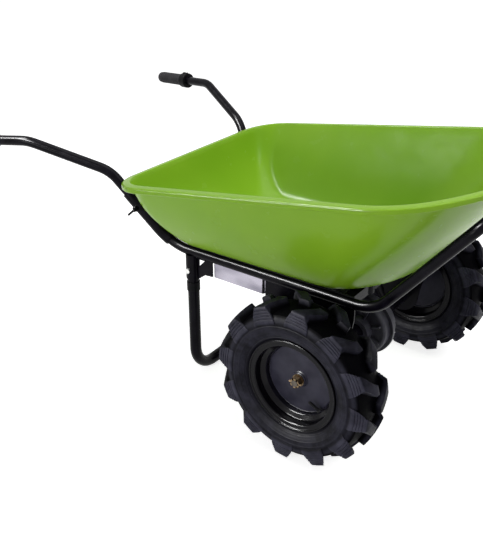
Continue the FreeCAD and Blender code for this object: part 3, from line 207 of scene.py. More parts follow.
makeCamera()
makeLamps(lamps, True)
makeLamps(shines, False)
makeRoom()
bpy.context.scene.view_settings.view_transform = "Standard"
print("camera, lamps and floor made")


# finishes: procedural, all on object coordinates
def newFinish(name, colour, roughness, metallic=0.0):
    # a principled finish, still plain, with what is needed to wire it
    material = bpy.data.materials.new(name)
    material.use_nodes = True
    tree = material.node_tree
    shader = tree.nodes["Principled BSDF"]
    feed(tree, shader.inputs["Base Color"], colour)
    feed(tree, shader.inputs["Roughness"], roughness)
    feed(tree, shader.inputs["Metallic"], metallic)
    return material, tree, shader


def objectPlace(tree, stretch=(1, 1, 1)):
    place = tree.nodes.new("ShaderNodeTexCoord")
    mapping = tree.nodes.new("ShaderNodeMapping")
    mapping.inputs["Scale"].default_value = stretch
    feed(tree, mapping.inputs["Vector"], place.outputs["Object"])
    return mapping.outputs["Vector"]


def noise(tree, place, scale, detail, roughness=0.5):
    node = tree.nodes.new("ShaderNodeTexNoise")
    feed(tree, node.inputs["Scale"], scale)
    feed(tree, node.inputs["Detail"], detail)
    feed(tree, node.inputs["Roughness"], roughness)
    feed(tree, node.inputs["Vector"], place)
    return node.outputs["Fac"]


def spread(tree, value, low, high, fromLow=0.3, fromHigh=0.7):
    # low up to fromLow, high from fromHigh on, and straight between; the usual limits suit noise
    node = tree.nodes.new("ShaderNodeMapRange")
    feed(tree, node.inputs["From Min"], fromLow)
    feed(tree, node.inputs["From Max"], fromHigh)
    feed(tree, node.inputs["To Min"], low)
    feed(tree, node.inputs["To Max"], high)
    feed(tree, node.inputs["Value"], value)
    return node.outputs["Result"]


def colourBetween(tree, value, first, second, start=0.35, end=0.65):
    node = tree.nodes.new("ShaderNodeValToRGB")
    low, high = node.color_ramp.elements
    low.position, low.color = start, (*first, 1)
    high.position, high.color = end, (*second, 1)
    feed(tree, node.inputs["Fac"], value)
    return node.outputs["Color"]


def mixed(tree, share, first, second, kind="RGBA"):
    # the first value where the share is 0, the second where it is 1
    node = tree.nodes.new("ShaderNodeMix")
    node.data_type = kind
    feed(tree, node.inputs["Factor"], share)
    socketType = "RGBA" if kind == "RGBA" else "VALUE"
    for name, value in (("A", first), ("B", second)):
        feed(tree, [i for i in node.inputs if i.name == name and i.type == socketType][0], value)
    return [o for o in node.outputs if o.type == socketType][0]


def bump(tree, height, strength, depth, under=None):
    node = tree.nodes.new("ShaderNodeBump")
    feed(tree, node.inputs["Strength"], strength)
    feed(tree, node.inputs["Distance"], depth)
    feed(tree, node.inputs["Height"], height)
    if under is not None:
        feed(tree, node.inputs["Normal"], under)
    return node.outputs["Normal"]


trayCoat = {
    # gloss green powder coat: even colour, fine orange peel over long ripples, a few dull patches;
    # noises are scale and detail, reliefs are strength and depth in metres
    "specular": 0.13,
    "clouds": (5, 2),
    "colours": ((0.215, 0.425, 0.017), (0.240, 0.450, 0.022)),
    "patches": (22, 4),
    "roughness": (0.21, 0.28),
    "ripples": (18, 1),
    "rippleRelief": (0.25, 0.0012),
    "peel": (420, 2),
    "peelRelief": (0.12, 0.0003),
}


def trayPaint():
    form = trayCoat
    material, tree, shader = newFinish("trayPaint", form["colours"][0], form["roughness"][0])
    feed(tree, shader.inputs["Specular IOR Level"], form["specular"])
    place = objectPlace(tree)
    clouds = noise(tree, place, *form["clouds"])
    feed(tree, shader.inputs["Base Color"], colourBetween(tree, clouds, *form["colours"]))
    patches = noise(tree, place, *form["patches"])
    feed(tree, shader.inputs["Roughness"], spread(tree, patches, *form["roughness"]))
    ripples = bump(tree, noise(tree, place, *form["ripples"]), *form["rippleRelief"])
    peel = noise(tree, place, *form["peel"])
    feed(tree, shader.inputs["Normal"], bump(tree, peel, *form["peelRelief"], ripples))
    return material


def wheelPlace(tree):
    # distance from the axle's line, and from the middle of the nearer wheel, in metres
    place = tree.nodes.new("ShaderNodeTexCoord")
    parts = tree.nodes.new("ShaderNodeSeparateXYZ")
    feed(tree, parts.inputs["Vector"], place.outputs["Object"])
    across = maths(tree, "SUBTRACT", parts.outputs["X"], axleX)
    up = maths(tree, "SUBTRACT", parts.outputs["Z"], axleZ)
    squares = [maths(tree, "MULTIPLY", way, way) for way in (across, up)]
    radius = maths(tree, "SQRT", maths(tree, "ADD", *squares))
    fromMiddle = maths(tree, "ABSOLUTE", parts.outputs["Y"])
    aside = maths(tree, "ABSOLUTE", maths(tree, "SUBTRACT", fromMiddle, trackHalf))
    return radius, aside


rimCoat = {
    # satin blue-black on the disc; on the barrel glossier, and a deeper black that is painted shade inside it
    "specular": 0.1,
    "barrelFrom": (0.0855, 0.0885),
    "patches": (28, 5),
    "discColours": ((0.020, 0.019, 0.033), (0.033, 0.0315, 0.051)),
    "discRoughness": (0.3, 0.42),
    "barrelShade": (0.0035, 0.003, 0.005),
    "barrelRoughness": 0.15,
    "peel": (600, 2),
    "peelRelief": (0.1, 0.0003),
}


def rimPaint():
    form = rimCoat
    material, tree, shader = newFinish("rimPaint", form["discColours"][0], form["discRoughness"][0])
    feed(tree, shader.inputs["Specular IOR Level"], form["specular"])
    place = objectPlace(tree)
    radius = wheelPlace(tree)[0]
    barrel = spread(tree, radius, 0, 1, *form["barrelFrom"])
    patches = noise(tree, place, *form["patches"])
    satin = colourBetween(tree, patches, *form["discColours"])
    # painted shade: the barrel painted a deeper black than the disc
    feed(tree, shader.inputs["Base Color"], mixed(tree, barrel, satin, form["barrelShade"]))
    dull = spread(tree, patches, *form["discRoughness"])
    feed(tree, shader.inputs["Roughness"], mixed(tree, barrel, dull, form["barrelRoughness"], "FLOAT"))
    peel = noise(tree, place, *form["peel"])
    feed(tree, shader.inputs["Normal"], bump(tree, peel, *form["peelRelief"]))
    return material


tyreCoat = {
    # bluish black moulded rubber: dusty on the sidewall, with painted highlight that makes the lugs' ends
    # paler, and painted shade that makes it nearly black at the bead and down between the lugs; radii and
    # distances in metres
    "clouds": (26, 5, 0.6),
    "cloudLimits": (0.36, 0.64),
    "dusty": ((0.0035, 0.0033, 0.0064), (0.0235, 0.0227, 0.0355)),
    "endHighlight": ((0.020, 0.0195, 0.031), (0.052, 0.0505, 0.074)),
    "beadShade": (0.0045, 0.0042, 0.0075),
    "beadTo": (0.117, 0.130),
    "lugEndsFrom": ((0.157, 0.163), (0.0455, 0.0475)),
    # a gap lies inside a sloping line: radius times the slope, and the distance aside, added up
    "gapShade": (0.0012, 0.0011, 0.0018),
    "gapSlope": 0.287,
    "gapWithin": (0.0958, 0.0978),
    "gapRadii": ((0.150, 0.161), (0.190, 0.199)),
    "gloss": (0.045, 0.01),
    "fine": (90, 4),
    "roughness": (0.36, 0.56),
    "cloudRelief": (0.3, 0.0012),
    "grain": (700, 3),
    "grainRelief": (0.3, 0.0004),
}


def tyreRubber():
    form = tyreCoat
    material, tree, shader = newFinish("tyreRubber", form["dusty"][1], form["roughness"][0])
    place = objectPlace(tree)
    radius, aside = wheelPlace(tree)
    clouds = noise(tree, place, *form["clouds"])
    dusty = colourBetween(tree, clouds, *form["dusty"], *form["cloudLimits"])
    # painted highlight: the lugs' ends made paler, as if lit
    endHighlight = colourBetween(tree, clouds, *form["endHighlight"], *form["cloudLimits"])
    # painted shade: nearly black at the bead, next to the rim
    colour = mixed(tree, spread(tree, radius, 0, 1, *form["beadTo"]), form["beadShade"], dusty)
    outward, sideways = [spread(tree, value, 0, 1, *limits)
                         for value, limits in zip((radius, aside), form["lugEndsFrom"])]
    colour = mixed(tree, maths(tree, "MULTIPLY", outward, sideways), colour, endHighlight)
    # painted shade: nearly black down between the lugs, with less gloss there
    inner, outer = form["gapRadii"]
    below = maths(tree, "MULTIPLY", spread(tree, radius, 1, 0, *outer), spread(tree, radius, 0, 1, *inner))
    stand = maths(tree, "MULTIPLY_ADD", radius, form["gapSlope"], aside)
    gap = maths(tree, "MULTIPLY", below, spread(tree, stand, 1, 0, *form["gapWithin"]))
    feed(tree, shader.inputs["Base Color"], mixed(tree, gap, colour, form["gapShade"]))
    feed(tree, shader.inputs["Specular IOR Level"], spread(tree, gap, *form["gloss"], 0, 1))
    fine = noise(tree, place, *form["fine"])
    feed(tree, shader.inputs["Roughness"], spread(tree, fine, *form["roughness"]))
    low = bump(tree, clouds, *form["cloudRelief"])
    grain = noise(tree, place, *form["grain"])
    feed(tree, shader.inputs["Normal"], bump(tree, grain, *form["grainRelief"], low))
    return material


# paints, plastics and rubber; depth is that of the grain, in metres
moulded = {"patches": (60, 4), "grain": (900, 2), "depth": 0.0003}
coats = {
    "frame_paint": {
        "name": "framePaint", "colours": ((0.0020, 0.0016, 0.0036), (0.0046, 0.0037, 0.0075)),
        "roughness": (0.2, 0.28), "specular": 0.06,
        "patches": (35, 4), "grain": (520, 2), "strength": 0.05, "depth": 0.0002},
    "cast_case": {
        "name": "casePaint", "colours": ((0.040, 0.039, 0.052), (0.072, 0.070, 0.090)),
        "roughness": (0.32, 0.5), "specular": 0.14,
        "patches": (40, 4), "grain": (500, 3, 0.7), "strength": 0.4, "depth": 0.0004},
    "motor_paint": {
        "name": "motorPaint", "colours": ((0.020, 0.0195, 0.026), (0.034, 0.033, 0.043)),
        "roughness": (0.34, 0.48), "specular": 0.12, "strength": 0.15, **moulded},
    "grip_rubber": {
        "name": "gripRubber", "colours": ((0.032, 0.031, 0.034), (0.052, 0.050, 0.055)),
        "roughness": (0.55, 0.72), "specular": 0.12, "strength": 0.4, **moulded},
    "pod_plastic": {
        "name": "podPlastic", "colours": ((0.003, 0.003, 0.004), (0.006, 0.006, 0.007)),
        "roughness": (0.35, 0.5), "specular": 0.06, "strength": 0.3, **moulded},
    "battery_plastic": {
        "name": "packPlastic", "colours": ((0.03, 0.03, 0.034), (0.04, 0.04, 0.045)),
        "roughness": (0.4, 0.5), "specular": 0.2, "strength": 0.3, **moulded},
    "key_plastic": {
        "name": "keyPlastic", "colours": ((0.40, 0.012, 0.008), (0.46, 0.016, 0.010)),
        "roughness": (0.25, 0.35), "specular": 0.3, "strength": 0.1, **moulded},
    "valve_rubber": {
        "name": "valveRubber", "colours": ((0.003, 0.003, 0.004), (0.006, 0.006, 0.007)),
        "roughness": (0.45, 0.6), "specular": 0.15, "strength": 0.3, **moulded},
}


def coat(form):
    # colour and gloss vary in the same patches, under a fine grain
    material, tree, shader = newFinish(form["name"], form["colours"][0], form["roughness"][0])
    feed(tree, shader.inputs["Specular IOR Level"], form["specular"])
    place = objectPlace(tree)
    patches = noise(tree, place, *form["patches"])
    feed(tree, shader.inputs["Base Color"], colourBetween(tree, patches, *form["colours"]))
    feed(tree, shader.inputs["Roughness"], spread(tree, patches, *form["roughness"]))
    grain = noise(tree, place, *form["grain"])
    feed(tree, shader.inputs["Normal"], bump(tree, grain, form["strength"], form["depth"]))
    return material


# bare and plated metals; stretch is how many times finer the marks are along X, Y and Z
plated = {"clouds": (30, 4), "cloudStretch": (1, 1, 1), "cloudLimits": (0.35, 0.65), "relief": (0.25, 0.0002)}
metals = {
    # stainless sheet, brushed along the barrow, with broad clouded and clear places
    "stainless": {
        "name": "boxSteel", "colours": ((0.12, 0.113, 0.15), (0.38, 0.36, 0.42)), "roughness": (0.18, 0.30),
        "marks": (30, 3), "stretch": (1, 1, 40), "clouds": (6, 2), "cloudStretch": (1, 1, 2.5),
        "cloudLimits": (0.36, 0.58), "relief": (0.25, 0.0002)},
    "zinc": {
        "name": "zincPlate", "colours": ((0.55, 0.56, 0.57), (0.66, 0.66, 0.64)), "roughness": (0.21, 0.378),
        "marks": (300, 3), "stretch": (1, 1, 1), **plated},
    "yellow_zinc": {
        "name": "yellowZinc", "colours": ((0.15, 0.105, 0.06), (0.24, 0.17, 0.10)),
        "roughness": (0.285, 0.513), "marks": (300, 3), "stretch": (1, 1, 1), **plated},
    "shaft_steel": {
        "name": "groundSteel", "colours": ((0.055, 0.048, 0.04), (0.12, 0.105, 0.09)),
        "roughness": (0.315, 0.567), "marks": (200, 3), "stretch": (1, 30, 1), **plated},
    "controller_metal": {
        "name": "finnedAlloy", "colours": ((0.5, 0.5, 0.51), (0.6, 0.6, 0.61)), "roughness": (0.2625, 0.4725),
        "marks": (200, 3), "stretch": (1, 1, 20), **plated},
}


def metal(form):
    # clouded colour under fine brush or turning marks
    material, tree, shader = newFinish(form["name"], form["colours"][0], form["roughness"][0], 1.0)
    marks = noise(tree, objectPlace(tree, form["stretch"]), *form["marks"])
    clouds = noise(tree, objectPlace(tree, form["cloudStretch"]), *form["clouds"])
    colour = colourBetween(tree, clouds, *form["colours"], *form["cloudLimits"])
    feed(tree, shader.inputs["Base Color"], colour)
    feed(tree, shader.inputs["Roughness"], spread(tree, marks, *form["roughness"]))
    feed(tree, shader.inputs["Normal"], bump(tree, marks, *form["relief"]))
    return material


finishes = {"tray_paint": trayPaint(), "rim_paint": rimPaint(), "tyre_rubber": tyreRubber()}
for slotName, form in coats.items():
    finishes[slotName] = coat(form)
for slotName, form in metals.items():
    finishes[slotName] = metal(form)


def dress(piece, slotName):
    piece.data.materials.clear()
    piece.data.materials.append(finishes[slotName])


slotOf = {part["node"]: part["material_slot"] for part in frame["record"]["subparts"]}
for nodeName, node in nodes.items():
    dress(node, slotOf[nodeName])
print("finishes made")


# helpers for new pieces
weldGap = 0.00002
planeSize = 0.01
origin = Vector((0, 0, 0))
# turns what was lathed about Y so that it stands on Z
upright = Matrix.Rotation(math.radians(90), 4, "X")


def choose(piece):
    clearSelection()
    piece.select_set(True)
    bpy.context.view_layer.objects.active = piece


def startPlane(name):
    # a small plane at the world origin, left in edit mode with everything selected
    clearSelection()
    bpy.ops.mesh.primitive_plane_add(size=planeSize, location=(0, 0, 0))
    piece = bpy.context.object
    piece.name = name
    bpy.ops.object.mode_set(mode="EDIT")
    bpy.ops.mesh.select_mode(type="VERT")
    bpy.ops.mesh.select_all(action="SELECT")
    return piece


def pick(piece, test):
    # in edit mode: selects the vertices whose place passes the test
    bpy.ops.mesh.select_all(action="DESELECT")
    made = bmesh.from_edit_mesh(piece.data)
    for vert in made.verts:
        if test(vert.co):
            vert.select_set(True)
    made.select_flush_mode()
    bmesh.update_edit_mesh(piece.data)


def finishMesh():
    # from edit mode to object mode, with doubles welded and every normal turned outwards
    bpy.ops.mesh.select_all(action="SELECT")
    bpy.ops.mesh.remove_doubles(threshold=weldGap)
    bpy.ops.mesh.normals_make_consistent(inside=False)
    bpy.ops.object.mode_set(mode="OBJECT")


def drawOutline(name, corners, centre):
    # a closed line drawn corner by corner from the centre's side, left in edit mode and selected
    piece = startPlane(name)
    bpy.ops.mesh.merge(type="CENTER")
    bpy.ops.transform.translate(value=centre + Vector(corners[0]))
    for here, after in zip(corners, corners[1:] + corners[:1]):
        step = [b - a for a, b in zip(here, after)]
        bpy.ops.mesh.extrude_vertices_move(TRANSFORM_OT_translate={"value": step})
    bpy.ops.mesh.select_all(action="SELECT")
    bpy.ops.mesh.remove_doubles(threshold=weldGap)
    bpy.ops.mesh.select_all(action="SELECT")
    return piece


def lathe(name, outline, centre, steps, degrees=360):
    # outline: closed list of (along Y, radius) in metres, turned about the Y line through the centre
    piece = drawOutline(name, [(0, along, radius) for along, radius in outline], centre)
    bpy.ops.mesh.spin(steps=steps, angle=math.radians(degrees), center=centre, axis=(0, 1, 0))
    finishMesh()
    return piece


arcLimits = {
    # a corner flatter than this, in radians, stays as it is
    "nearlyStraight": 3.1,
    # the most of a side that one arc takes
    "mostOfSide": 0.49,
}


def roundedOutline(corners, steps=3):
    # corners: closed list of (along, radius, rounding); each corner becomes a short arc
    made = []
    for k, (along, radius, rounding) in enumerate(corners):
        here = Vector((along, radius))
        before = Vector(corners[k - 1][:2]) - here
        after = Vector(corners[(k + 1) % len(corners)][:2]) - here
        turn = before.angle(after)
        if rounding == 0 or turn > arcLimits["nearlyStraight"]:
            made.append((along, radius))
            continue
        most = arcLimits["mostOfSide"]
        reach = min(rounding / math.tan(turn / 2), before.length * most, after.length * most)
        first = here + before.normalized() * reach
        last = here + after.normalized() * reach
        for j in range(steps + 1):
            t = j / steps
            point = first * (1 - t) ** 2 + here * (2 * t * (1 - t)) + last * t ** 2
            made.append((point.x, point.y))
    return made


def toMetres(pairs):
    return [tuple(v / 1000 for v in pair) for pair in pairs]


def applyModifiers(piece):
    choose(piece)
    for modifier in list(piece.modifiers):
        bpy.ops.object.modifier_apply(modifier=modifier.name)


def bevel(piece, width, angle, segments=2):
    made = piece.modifiers.new("edges", "BEVEL")
    made.width = width
    made.segments = segments
    made.limit_method = "ANGLE"
    made.angle_limit = math.radians(angle)
    applyModifiers(piece)


def smooth(piece, angle):
    choose(piece)
    bpy.ops.object.shade_smooth_by_angle(angle=math.radians(angle))


def twinOf(piece, name, change, flip=False):
    # a copy with its own mesh, moved by the matrix
    twin = bpy.data.objects.new(name, piece.data.copy())
    twin.data.transform(change)
    if flip:
        twin.data.flip_normals()
    bpy.context.scene.collection.objects.link(twin)
    return twin


def turnAbout(centre, degrees):
    return (Matrix.Translation(centre) @ Matrix.Rotation(math.radians(degrees), 4, "Y")
            @ Matrix.Translation(-centre))


def mirrorAcross(y):
    # swaps the two sides of the upright plane at the given Y
    return Matrix.Translation((0, 2 * y, 0)) @ Matrix.Scale(-1, 4, (0, 1, 0))


def joinAll(name, pieces):
    clearSelection()
    for piece in pieces:
        piece.select_set(True)
    bpy.context.view_layer.objects.active = pieces[0]
    bpy.ops.object.join()
    joined = bpy.context.object
    joined.name = name
    return joined


def fit(piece, body, slotName, *stoodFor):
    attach(piece, body)
    dress(piece, slotName)
    if stoodFor:
        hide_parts(*stoodFor)


def fitPair(right, left, bodies, slotName, node, angle):
    # the right and left piece, each in place of the node of its side, if there is one
    for piece, body, side in ((right, bodies[0], "_right"), (left, bodies[1], "_left")):
        smooth(piece, angle)
        fit(piece, body, slotName, *([node + side] if node else []))


# wheels: the right one is modelled, the left one is its mirror image turned on by half a lug pitch
rightWheel = Vector((axleX, -trackHalf, axleZ))
leftTurn = 15.0
wheelSmoothing = 30


def bothWheels(piece, slotName, node):
    # the piece is the right wheel's; makes the left wheel's from it
    change = turnAbout(Vector((axleX, trackHalf, axleZ)), leftTurn) @ mirrorAcross(0)
    other = twinOf(piece, piece.name + "Left", change, flip=True)
    fitPair(piece, other, ("wheel_right", "wheel_left"), slotName, node, wheelSmoothing)


casing = {
    # the tyre without its lugs: along the axle from its middle, radius, in millimetres
    "toe": (37.7, 101.9),
    "heel": (37.7, 116.3),
    "waist": (51.0, 147.0),
    "shoulder": (44.0, 178.0),
    "crownRadius": 187.0,
    # each ridge on the sidewall: middle radius, half its width, height; its foot is this much wider
    "ridges": ((121.5, 1.6, 1.0), (127.0, 0.7, 0.5), (139.0, 0.9, 0.5), (151.0, 1.6, 0.7)),
    "ridgeFoot": 1.5,
    "sideSteps": 56,
    "crownSteps": 14,
    "turns": 192,
}


def circleThrough(first, middle, last):
    # middle and radius of the circle through three points
    (ax, ay), (bx, by), (cx, cy) = first, middle, last
    a, b, c = ax * ax + ay * ay, bx * bx + by * by, cx * cx + cy * cy
    d = 2 * (ax * (by - cy) + bx * (cy - ay) + cx * (ay - by))
    x = (a * (by - cy) + b * (cy - ay) + c * (ay - by)) / d
    y = (a * (cx - bx) + b * (ax - cx) + c * (bx - ax)) / d
    return x, y, math.hypot(ax - x, ay - y)


def sideWidth(radius):
    # how far the sidewall stands out from the tyre's middle at a radius, with its ridges
    x, y, r = circleThrough(casing["heel"], casing["waist"], casing["shoulder"])
    width = x + math.sqrt(max(0, r * r - (radius - y) ** 2))
    foot = casing["ridgeFoot"]
    for middle, half, height in casing["ridges"]:
        away = abs(radius - middle) / half
        if away < foot:
            width += height * min(1, (foot - away) / (foot - 1))
    return width


def makeCasing():
    heel = casing["heel"][1]
    width, shoulder = casing["shoulder"]
    steps = casing["sideSteps"]
    radii = [heel + (shoulder - heel) * k / steps for k in range(steps + 1)]
    outer = [casing["toe"]] + [(sideWidth(radius), radius) for radius in radii]
    y, r = circleThrough((-width, shoulder), (0, casing["crownRadius"]), casing["shoulder"])[1:]
    count = casing["crownSteps"]
    across = [width * (1 - 2 * k / count) for k in range(1, count)]
    crown = [(x, y + math.sqrt(r * r - x * x)) for x in across]
    outline = outer + crown + [(-x, radius) for x, radius in reversed(outer)]
    return lathe("tyreCasing", toMetres(outline), rightWheel, casing["turns"])


lug = {
    # outline across the tyre, from near its middle to the sidewall: along the axle, radius
    "top": ((2.0, 204.9), (7.0, 205.0), (13.0, 204.7), (22.0, 204.0), (32.0, 202.8), (40.0, 201.3),
            (45.0, 200.0)),
    "end": ((47.2, 198.6), (48.4, 195.6)),
    "endFoot": ((52.5, 163.0), (51.0, 154.0)),
    "root": ((42.0, 160.0), (38.0, 175.0), (22.0, 181.5), (12.0, 183.0), (2.0, 183.5)),
    "outerRadius": 205.0,
    # fine grooves round the lug's end: radius of each, half its width, the share that is its floor, depth
    "grooves": (190.5, 184.0, 177.5, 171.0),
    "grooveHalf": 1.3,
    "grooveFloor": 0.35,
    "grooveDepth": 1.7,
    # breadth along the tread at each place, and how far the lug leans forward there
    "breadths": ((2.0, 23.0), (13.0, 25.0), (32.0, 29.0), (45.0, 34.0)),
    "endBreadths": ((200.0, 34.0), (188.0, 43.0), (178.0, 53.0), (163.0, 59.0), (150.0, 60.0)),
    "leads": ((2.0, 20.0), (13.0, 18.0), (45.0, -17.5)),
    # the tread's breadths hold above this radius and within this distance of the tyre's middle
    "treadRadius": 195.0,
    "treadHalf": 40.0,
    # below this radius the lug's root is broader
    "rootRadius": 190.0,
    "rootSpread": 9.0,
    # degrees that the lug is first turned over, and the columns of points across it
    "span": 20.0,
    "columns": 8,
    "count": 12,
    "phase": -65.0,
    "rounding": 0.0012,
    "roundAbove": 28,
}
shaping = {
    # a point is picked within this many degrees or millimetres of where it should be
    "closeEnough": 0.01,
    # points that have their new place wait this many degrees on, where none is picked twice
    "waitTurn": 100,
}


def between(pairs, at):
    # straight-line reading of a short list of pairs, in either order
    pairs = sorted(pairs)
    if at <= pairs[0][0]:
        return pairs[0][1]
    for (a, low), (b, high) in zip(pairs, pairs[1:]):
        if at <= b:
            return low + (high - low) * (at - a) / (b - a)
    return pairs[-1][1]


def lugEndLine():
    # the end of the lug down the sidewall, with its grooves
    upper, lower = lug["end"][-1], lug["endFoot"][0]
    slope = (lower[0] - upper[0]) / (lower[1] - upper[1])

    def face(radius, depth=0):
        return (upper[0] + (radius - upper[1]) * slope - depth, radius)

    line = list(lug["end"])
    half, depth = lug["grooveHalf"], lug["grooveDepth"]
    floor = half * lug["grooveFloor"]
    for radius in lug["grooves"]:
        line += [face(radius + half), face(radius + floor, depth), face(radius - floor, depth),
                 face(radius - half)]
    return line + list(lug["endFoot"])


def lugBreadth(y, radius):
    # how broad the lug is at a place on its outline
    onTop = radius > lug["treadRadius"] or y < lug["treadHalf"]
    breadth = between(lug["breadths"], y) if onTop else between(lug["endBreadths"], radius)
    if onTop and radius < lug["rootRadius"]:
        breadth += lug["rootSpread"]
    return breadth


def lugAngle(point):
    return math.degrees(math.atan2(point.x - axleX, point.z - axleZ))


def makeLug():
    # a slice of the lug's outline turned about the axle, then spread and leant station by station
    outline = list(lug["top"]) + lugEndLine() + list(lug["root"])
    span, columns = lug["span"], lug["columns"]
    near, wait = shaping["closeEnough"], shaping["waitTurn"]
    piece = lathe("lug", toMetres(outline), rightWheel, columns, span)
    angles = [lugAngle(vert.co) for vert in piece.data.vertices]
    piece.data.transform(turnAbout(rightWheel, -(min(angles) + max(angles)) / 2))
    choose(piece)
    bpy.ops.object.mode_set(mode="EDIT")
    for way in (-1, 1):
        pick(piece, lambda c: abs(lugAngle(c) - way * span / 2) < near)
        bpy.ops.mesh.edge_face_add()
    finishMesh()
    bpy.ops.object.mode_set(mode="EDIT")
    for y, radius in outline:
        breadth = math.degrees(lugBreadth(y, radius) / radius)
        lead = math.degrees(between(lug["leads"], y) / lug["outerRadius"])
        for k in range(columns + 1):
            column = span * (k / columns - 0.5)
            pick(piece, lambda c: abs(lugAngle(c) - column) < near
                 and abs((c.y - rightWheel.y) * 1000 - y) < near
                 and abs(math.hypot(c.x - axleX, c.z - axleZ) * 1000 - radius) < near)
            turn = wait + lead + column * (breadth / span - 1)
            bpy.ops.transform.rotate(value=-math.radians(turn), orient_axis="Y", center_override=rightWheel)
    bpy.ops.object.mode_set(mode="OBJECT")
    piece.data.transform(turnAbout(rightWheel, -wait))
    bevel(piece, lug["rounding"], lug["roundAbove"])
    return piece


def makeTyres():
    pieces = [makeCasing()]
    one = makeLug()
    pitch = 360.0 / lug["count"]
    for k in range(lug["count"]):
        turn = k * pitch + lug["phase"]
        pieces.append(twinOf(one, "lugOuter", turnAbout(rightWheel, turn)))
        mirrored = turnAbout(rightWheel, turn + pitch / 2) @ mirrorAcross(rightWheel.y)
        pieces.append(twinOf(one, "lugInner", mirrored, flip=True))
    bpy.data.objects.remove(one)
    bothWheels(joinAll("tyreVisual", pieces), "tyre_rubber", "tyre")


makeTyres()
print("tyres made")

rimForm = {
    # half of the pressed rim in section: tyre side, lip and open side (along the axle, radius, rounding)
    "tyreSide": ((10.5, 90.0, 3), (18.5, 101.6, 3), (38.0, 101.6, 1.5), (38.0, 112.4, 3), (39.6, 115.4, 1.5)),
    "lip": ((43.0, 115.4, 1.6), (43.2, 112.2, 1.2)),
    "openSide": ((40.6, 111.2, 2.5), (40.6, 100.8, 4), (37.0, 99.0, 3), (26.0, 99.0, 1), (24.0, 98.2, 1),
                 (20.4, 98.8, 2.5), (12.6, 87.4, 4)),
    # centre disc with its turned edge, and the weld round it
    "disc": ((1.5, 18.3, 0), (1.5, 84.6, 2.6), (-6.0, 87.1, 1), (-6.0, 84.9, 1), (-1.5, 82.6, 1.5),
             (-1.5, 18.3, 0)),
    "weld": ((-5.0, 87.6, 0), (0.2, 87.8, 0.8), (-0.6, 85.4, 1.5), (-3.2, 85.4, 1)),
    "arcSteps": 4,
    "turns": 144,
}
hubForm = {
    "section": ((8.0, 10.1, 0), (8.0, 16.6, 0.8), (6.6, 18.0, 0.6), (4.4, 18.0, 1.2), (1.7, 21.4, 1),
                (1.6, 18.1, 0), (-1.6, 18.1, 0), (-1.7, 21.4, 1), (-4.4, 18.0, 1.2), (-59.0, 18.0, 0.8),
                (-60.0, 17.0, 0.4), (-60.0, 10.1, 0)),
    "turns": 72,
}


def outboard(corners, steps=3):
    # a section drawn with its outer side positive, turned to the right wheel's outer side
    return toMetres((-along, radius) for along, radius in roundedOutline(corners, steps))


def makeRims():
    half = rimForm["tyreSide"] + rimForm["lip"] + rimForm["openSide"]
    outline = half + tuple((-along, radius, rounding) for along, radius, rounding in reversed(half))
    turns, steps = rimForm["turns"], rimForm["arcSteps"]
    barrel = lathe("rimBarrel", outboard(outline, steps), rightWheel, turns)
    disc = lathe("rimDisc", outboard(rimForm["disc"], steps), rightWheel, turns)
    weld = lathe("rimWeld", outboard(rimForm["weld"]), rightWheel, turns)
    bothWheels(joinAll("rimVisual", [barrel, disc, weld]), "rim_paint", "rim")
    hub = lathe("hubVisual", outboard(hubForm["section"]), rightWheel, hubForm["turns"])
    bothWheels(hub, "rim_paint", "hub")


makeRims()
print("rims made")

# tray: millimetres, X from the axle and Z from the ground; pairs are at the floor and at the rim
trayForm = {
    "rear": (-440.0, -545.5),
    "halfWidth": (200.0, 318.5),
    "frontStart": (-37.0, 120.0),
    "rearCorner": (75.0, 85.5),
    "frontCorner": (110.0, 195.5),
    "height": (380.0, 639.0),
    "slope": 0.157,
    "noseTurn": 45.0,
    "sheet": 1.6,
    "floorEdge": 60.0,
    "wallAngle": 62.0,
    # rings of the floor inside its edge, steps up the edge and the wall, and where the wall ends
    "floorInsets": (30.0, 8.0),
    "edgeSteps": 10,
    "wallSteps": 16,
    "wallTop": 0.985,
    # how far the pressed walls belly out: all round, more at the rear, and tighter rear corners
    "belly": 7.0,
    "rearBelly": 13.0,
    "cornerTighten": 42.0,
    "bellyRise": 0.8,
    # rolled edge in section, from the wall's outer skin round to its inner skin: outwards, upwards, rounding
    "roll": ((-8.4, -3.9, 0), (-4.8, 4.2, 2.2), (8.6, 2.8, 3), (12.9, 0.6, 3), (12.7, -6.6, 1),
             (11.0, -8.4, 0.8), (12.0, -9.8, 0.8), (14.2, -7.6, 2.5), (14.5, 1.8, 3.8), (10.6, 4.4, 4),
             (-5.6, 6.2, 3.4), (-10.2, -3.9, 0)),
    "rollSteps": 4,
    # how far the walls lean in at the top to leave room for the roll
    "ledge": 6.5,
    # points along half the rear, its corner, the side, its bend and half the nose
    "counts": (8, 14, 22, 12, 22),
    "smoothing": 40,
}
seat = {
    # pressed bolt seats in the floor: radius and height of each corner, rounding
    "section": ((4.2, -6.0, 0), (12.0, -6.0, 1.5), (16.5, 0.0, 0), (16.5, 1.6, 0), (15.9, 1.6, 1.0),
                (11.2, -4.4, 1.5), (4.2, -4.4, 0)),
    "holeRadius": 16.5,
    "headRadius": 9.5,
    "cutDepth": 20.0,
    "turns": 64,
}


